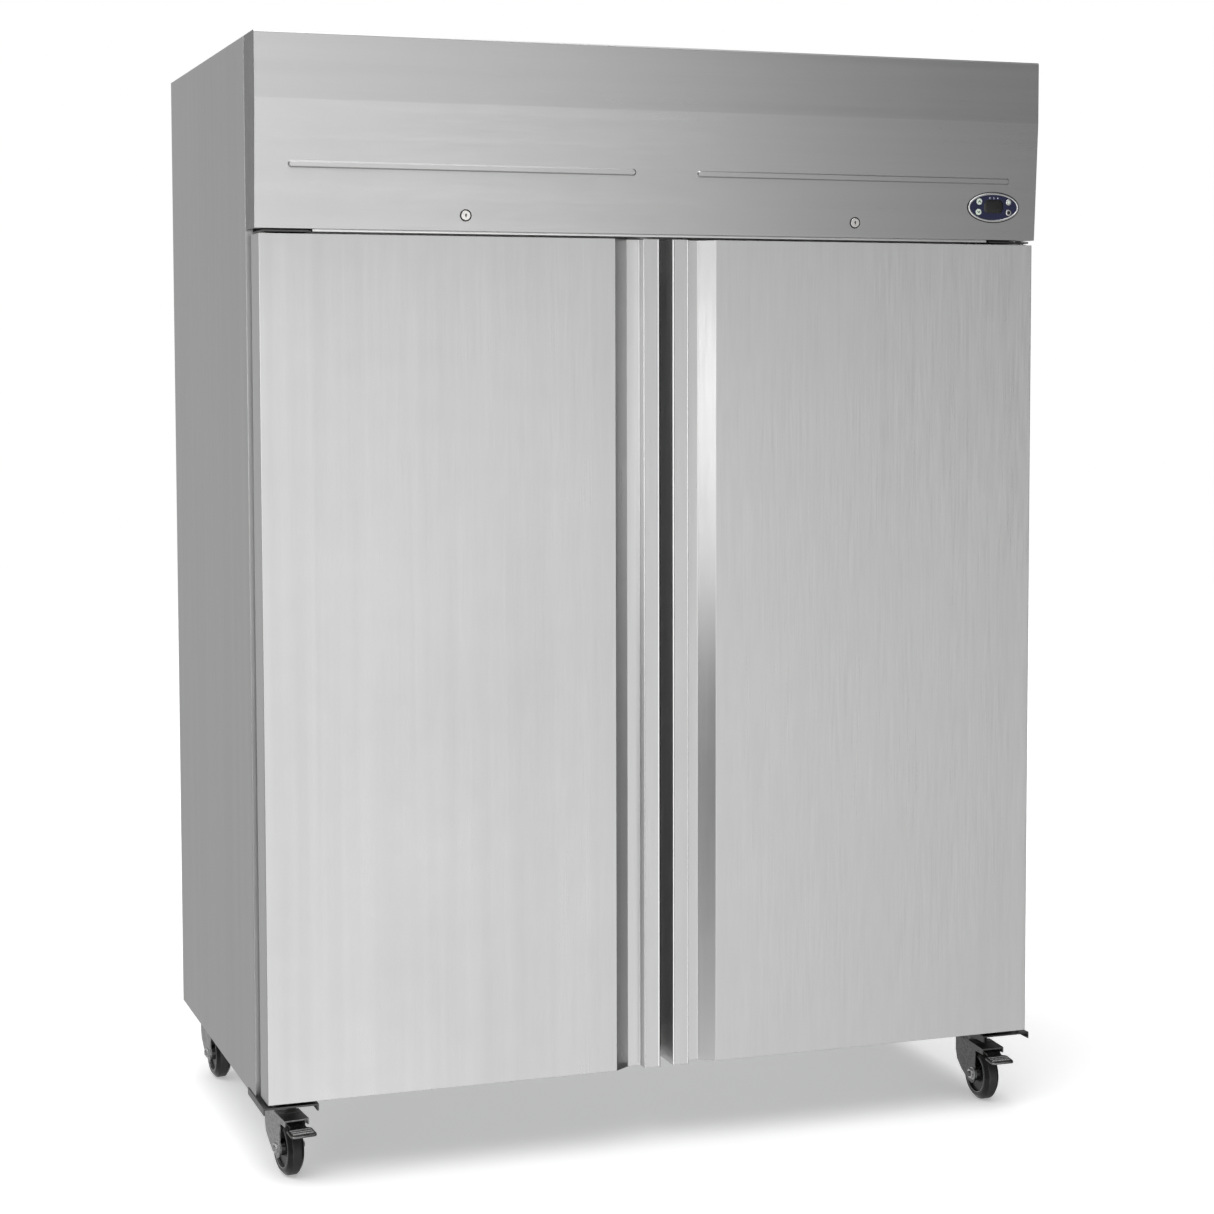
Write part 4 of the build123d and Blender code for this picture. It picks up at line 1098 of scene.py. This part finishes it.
@dataclass
class ControlPanel:
    """The oval control: bezel, overlay, display, indicators and buttons."""

    seal_profile: tuple[tuple[float, float], ...] = (
        (-3, -1.6), (1.7, -1.6), (1.7, -1.0), (1.2, -0.6), (-3, -0.6),
    )
    display: Point = (20.0, 12.4, 9.0)
    display_dome: tuple[tuple[float, float], ...] = (
        (0.0, -0.4), (0.0, 0.25), (0.5, 0.6), (2.5, 0.8), (6.0, 0.95),
    )
    display_lift: float = 1.5
    icon_lift: float = 17.0
    icon_places: Point = (-8.0, 0.5, 8.6)
    drop_size: tuple[float, float] = (1.15, 1.7)
    key_depth: float = 0.0031
    key_cap: tuple[tuple[float, float], ...] = ((3.3, -0.2), (3.3, 0.1), (2.9, 0.3), (1.2, 0.36))
    outward: Vector = field(default_factory=lambda: -Vector(joint("lock_right_turn")["axis"]))

    def build(self) -> None:
        """Dress the panel's nodes and add what stands on them."""
        dress(BRIGHT_CHROME, "control_bezel")
        dress(NAVY_PLASTIC, "control_housing")
        for number, finish in enumerate((PALE_KEY, PALE_KEY, BRIGHT_CHROME, BRIGHT_CHROME), 1):
            dress(finish, f"control_button_{number}")
        overlay = frame_at(middle("control_bezel"), self.outward)
        self.seal(overlay)
        self.lens(overlay)
        self.icons(overlay)
        for number in range(1, 5):
            self.key_mark(number)

    def seal(self, overlay: Matrix) -> None:
        """Lay the thin seal that the bezel presses on the header."""
        low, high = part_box("control_bezel")
        half_x, half_y = (high.x - low.x) / 2 / MM, (high.z - low.z) / 2 / MM
        builder = Builder()
        rows = [oval(half_x + grow, half_y + grow, lift, 64) for grow, lift in self.seal_profile]
        builder.loft(overlay, *rows, rows[0], caps=False)
        builder.piece("control_seal", SEAL, "header")

    def lens(self, overlay: Matrix) -> None:
        """Set the dark display lens in the overlay, with a softly domed face."""
        half_x, half_y, corner = self.display
        builder = Builder()
        rows = []
        for shrink, lift in self.display_dome:
            rows.append(rounded(half_x - shrink, half_y - shrink, corner - shrink * 0.8, lift, 12))
        builder.loft(overlay @ Matrix.Translation((0, self.display_lift, 0)), *rows)
        builder.piece("display_lens", LENS, "header")

    def icons(self, overlay: Matrix) -> None:
        """Raise the three indicator marks: a six-armed star, a fan and a drop."""
        builder = Builder()
        star, fan, drop = (
            overlay @ Matrix.Translation((x, self.icon_lift, 0)) for x in self.icon_places
        )
        for turn in turns(3):
            bar = star @ Matrix.Rotation(turn / 2, 4, "Z")
            builder.loft(bar, *(rounded(2.1, 0.3, 0.28, lift, 4) for lift in (-0.2, 0.2)))
            blade = fan @ Matrix.Rotation(turn, 4, "Z") @ Matrix.Translation((1.25, 0.3, 0))
            builder.loft(blade, *(oval(0.95, 0.65, lift, 16) for lift in (-0.2, 0.2)))
        wide, tall = self.drop_size
        shape = []
        for turn in turns(20):
            taper = 1 - 0.45 * math.sin(turn)
            shape.append((wide * math.cos(turn) * taper, tall * math.sin(turn) + 0.2))
        builder.loft(drop, ring(shape, -0.2), ring(shape, 0.2))
        builder.piece("indicator_marks", MARKING, "header")

    def key_mark(self, number: int) -> None:
        """Put a raised mark on one button.

        Args:
            number: the button; the first two get arrows, the others round caps.
        """
        place = middle(f"control_button_{number}") + self.outward * self.key_depth
        top = frame_at(place, self.outward)
        builder = Builder()
        finish = PALE_KEY if number == 3 else DARK_KEY
        if number <= 2:
            sign = 1 if number == 1 else -1
            for arm in (-1, 1):
                tilt = Matrix.Rotation(-arm * sign * 0.85, 4, "Z")
                bar = top @ Matrix.Translation((arm * 1.25, 0, 0)) @ tilt
                builder.loft(bar, *(rounded(2.5, 0.7, 0.6, lift, 4) for lift in (-0.2, 0.2)))
        else:
            builder.loft(top, *(circle(radius, lift) for radius, lift in self.key_cap))
        builder.piece(f"key_mark_{number}", finish, f"button_{number}")


@dataclass
class Casters:
    """Four swivel casters, two of them with brakes."""

    leg_outside: float = 0.02
    race_depth: float = 0.013
    bolt_places: tuple[float, float] = (0.038, 0.031)
    rim_highlight_ring: Point = (36.2, 0.7, 14.0)
    hub_profile: tuple[tuple[float, float], ...] = (
        (12.6, 16.0), (12.6, 17.3), (12.0, 17.7), (8.2, 17.7), (7.8, 17.2), (6.2, 17.2), (6.0, 16.0),
    )
    tread_radius: float = 0.0435
    pedal_sections: tuple[tuple[float, float, float, float], ...] = (
        (-5.0, 16.5, 0.0, 3.5), (8.0, 16.5, -1.2, 4.0), (13.0, 14.5, -4.5, 4.0), (17.5, 15.5, -7.8, 4.2),
        (20.5, 21.0, -8.4, 4.4), (23.5, 23.6, -8.8, 4.6), (45.0, 24.0, -11.4, 4.6), (49.5, 22.6, -12.0, 4.2),
        (51.6, 19.5, -12.4, 3.2),
    )
    ribs: tuple[float, ...] = (27.0, 35.0, 43.0)
    rib_radius: float = 1.7
    rib_lift: float = -3.6565
    pad_slope: float = 0.121
    boss: tuple[float, float] = (16.8, 4.6)

    def build(self) -> None:
        """Dress forks and wheels, and add nuts, rings, bolts and pedals."""
        for corner in CORNERS:
            # the front right fork takes the darker zinc copy, painted shade; the others keep the plain zinc
            dress(SHADED_ZINC if corner == "front_right" else ZINC, f"caster_fork_{corner}")
            self.wheel(corner)
            self.nuts(corner)
        for side in SIDES:
            self.pedal(f"front_{side}")
        self.plate_bolts()

    def axle(self, corner: str) -> tuple[Vector, Vector]:
        """Return the direction and the middle of a wheel's axle."""
        roll = joint(f"wheel_{corner}_roll")
        return Vector(roll["axis"]), Vector(roll["pos_m"])

    def wheel(self, corner: str) -> None:
        """Dress a wheel, its tread apart from its sides, and add its hub rings and a thin bright ring at
        each side's rim, a painted highlight.

        Args:
            corner: the caster that the wheel belongs to.
        """
        axle, centre = self.axle(corner)
        mesh = frame["nodes"][f"wheel_{corner}"].data
        mesh.materials.clear()
        for finish in (TYRE, TREAD):
            mesh.materials.append(finish.material())
        for face in mesh.polygons:
            offset = face.center - centre
            radius = (offset - axle * offset.dot(axle)).length
            outward = abs(face.normal.dot(axle))
            face.material_index = int(radius > self.tread_radius and outward < 0.5)
        builder = Builder()
        for facing in (-1.0, 1.0):
            side = frame_at(centre, axle * facing, Axis.Z.value)
            # thin bright ring at the rim: a painted highlight on the wheel's shoulder
            radius, thickness, lift = self.rim_highlight_ring
            builder.torus(side @ Matrix.Translation((0, 0, lift)), radius, thickness)
            builder.loft(side, *(circle(radius, rise) for radius, rise in self.hub_profile))
        builder.piece(f"wheel_rings_{corner}", GALVANISED, f"wheel_{corner}")

    def nuts(self, corner: str) -> None:
        """Put a bright nut and washer on each end of a caster's axle."""
        axle, centre = self.axle(corner)
        builder = Builder()
        for outward in (-axle, axle):
            AXLE_NUT.drive(builder, outward, [centre + outward * self.leg_outside], Axis.Z.value)
        builder.piece(f"axle_nuts_{corner}", BRIGHT_ZINC, f"caster_{corner}")

    def plate_bolts(self) -> None:
        """Bolt each caster's plate up into the cabinet."""
        builder = Builder()
        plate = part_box("caster_plates")[0].z + self.race_depth
        across, along = self.bolt_places
        for corner in CORNERS:
            x, y, _ = joint(f"caster_{corner}_swivel")["pos_m"]
            seats = [(x + side, y + end, plate) for side in (-across, across) for end in (-along, along)]
            PLATE_BOLT.drive(builder, Axis.DOWN.value, seats)
        builder.piece("caster_bolts", BRIGHT_ZINC, "cabinet")

    def pedal(self, corner: str) -> None:
        """Form a pressed brake pedal, cranked down ahead of its housing, with ribs across its pad.

        Args:
            corner: the caster that the pedal belongs to.
        """
        press = joint(f"pedal_{corner}_press")
        place = frame_at(press["pos_m"], Axis.Z.value, press["axis"])
        builder = Builder()
        rows = []
        for ahead, half, lift, thickness in self.pedal_sections:
            outline = rounded(half, thickness / 2, thickness * 0.42, 0.0, 4)
            rows.append([Vector((point.x, -ahead, lift + point.y)) for point in outline])
        builder.loft(place, *rows)
        half, radius = self.boss
        builder.tube([place @ Vector((x, 0.0, 0.0)) for x in (-half, half)], radius)
        body = f"pedal_{corner}"
        builder.piece(body, PEDAL_STEEL, body, (f"brake_pedal_{corner}",))
        builder = Builder()
        for ahead in self.ribs:
            lift = self.rib_lift - ahead * self.pad_slope
            ends = [place @ Vector((x, -ahead, lift)) for x in (-19.0, -18.4, 18.4, 19.0)]
            builder.tube(ends, self.rib_radius)
        builder.piece(f"pedal_ribs_{corner}", BRIGHT_ZINC, body)


@dataclass
class Interior:
    """Shelves, their supports and the evaporator."""

    wire_radius: float = 2.0
    bar_radius: float = 2.4
    rim_radius: float = 3.4
    rim_corner: float = 12.0
    wires: int = 25
    wire_margin: float = 0.025
    bar_margin: float = 0.1
    levels: int = 3
    size: Point = (0.65, 0.53, 0.008)

    def build(self) -> None:
        """Dress what is behind the doors and bend the shelves' wires."""
        dress(LINER_STEEL, "shelf_uprights", "shelf_runners")
        dress(FINS, "evaporator_coil")
        dress(GREY_BOX, "evaporator_cover")
        dress(BLACK_PLASTIC, "fan_motors", "evaporator_fan_left", "evaporator_fan_right")
        self.shelves()
        self.cover_screws()

    def shelves(self) -> None:
        """Make every shelf of round wire: a rim, cross bars and slats that turn down at the front."""
        builder = Builder()
        low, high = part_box("shelves")
        half_x, half_y, half_z = (side / 2 for side in self.size)
        for x in (low.x + half_x, high.x - half_x):
            for z in spread(low.z + half_z, high.z - half_z, self.levels):
                centre = Vector((x, (low.y + high.y) / 2, z))
                self.shelf(builder, centre, half_x, half_y)
        builder.piece("shelf_wires", CHROME_WIRE, "cabinet", ("shelves",))

    def shelf(self, builder: Builder, centre: Vector, half_x: float, half_y: float) -> None:
        """Add one shelf's rim, bars and slats.

        Args:
            builder: the mesh that they go into.
            centre: middle of the shelf.
            half_x: half its width.
            half_y: half its depth.
        """
        inset = self.rim_radius * MM
        corners = rounded((half_x - inset) / MM, (half_y - inset) / MM, self.rim_corner, 0.0, 5)
        loop = [centre + point * MM for point in corners]
        rows = []
        for index, point in enumerate(loop):
            ahead = loop[(index + 1) % len(loop)] - loop[index - 1]
            place = frame_at(point, ahead, Axis.Z.value)
            rows.append([place @ corner for corner in circle(self.rim_radius, 0.0, 10)])
        builder.loft(Matrix.Identity(4), *rows, rows[0], caps=False)
        for y in spread(self.bar_margin - half_y, half_y - self.bar_margin, 3):
            ends = [centre + Vector((x, y, -0.0015)) for x in (-half_x + inset, half_x - inset)]
            builder.tube(ends, self.bar_radius)
        front, back = 0.0012 - half_y, half_y - 0.006
        path = [(front, -0.0036), (front, 0.0004), (0.004 - half_y, 0.0032), (back, 0.0018)]
        for x in spread(self.wire_margin - half_x, half_x - self.wire_margin, self.wires):
            builder.tube([centre + Vector((x, y, z)) for y, z in path], self.wire_radius, 8)

    def cover_screws(self) -> None:
        """Screw the evaporator cover up along its front."""
        builder = Builder()
        low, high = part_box("evaporator_cover")
        rows = (low.z + SCREW_INSET, high.z - SCREW_INSET)
        seats = [(x, low.y, z) for x in spread(low.x + 0.02, high.x - 0.02, 5) for z in rows]
        PANEL_SCREW.drive(builder, Axis.FRONT.value, seats)
        builder.piece("cover_screws", ZINC, "cabinet")


@dataclass
class Machinery:
    """Compressor, condenser, pipes and wiring box above the insulated box."""

    foot_height: float = 0.024
    foot_insets: Point = (0.02, 0.23, 0.025)

    def build(self) -> None:
        """Dress the refrigeration machinery and add its fixings."""
        dress(BLACK_PAINT, "compressor")
        dress(FINS, "condenser_coil")
        dress(GALVANISED, "condenser_fan_shroud")
        dress(BLACK_PLASTIC, "condenser_fan_blade", "cable_gland")
        dress(GREY_BOX, "control_box")
        dress(COPPER, "refrigerant_pipes")
        dress(NYLON, "condensate_tray")
        self.fixings()

    def fixings(self) -> None:
        """Bolt down the compressor's feet and screw on the wiring box's lid."""
        builder = Builder()
        up = Axis.Z.value
        low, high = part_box("control_box")
        columns = (low.x + SCREW_INSET, high.x - SCREW_INSET)
        rows = (low.y + SCREW_INSET, high.y - SCREW_INSET)
        PANEL_SCREW.drive(builder, up, [(x, y, high.z) for x in columns for y in rows])
        low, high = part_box("compressor")
        near, far, inset = self.foot_insets
        rows = (low.y + inset, high.y - inset)
        feet = [(high.x - x, y, low.z + self.foot_height) for x in (near, far) for y in rows]
        FOOT_BOLT.drive(builder, up, feet)
        builder.piece("machinery_fixings", BRIGHT_ZINC, "cabinet")


def main() -> None:
    """Build the studio and every sub-assembly, logging each one as it is built."""
    logging.basicConfig(level=logging.INFO, format="%(message)s")
    for kind in (Studio, CabinetShell, Doors, Fascia, ControlPanel, Casters, Interior, Machinery):
        LOG.info("building %s", kind.__name__)
        kind().build()


if __name__ == "__main__":
    main()
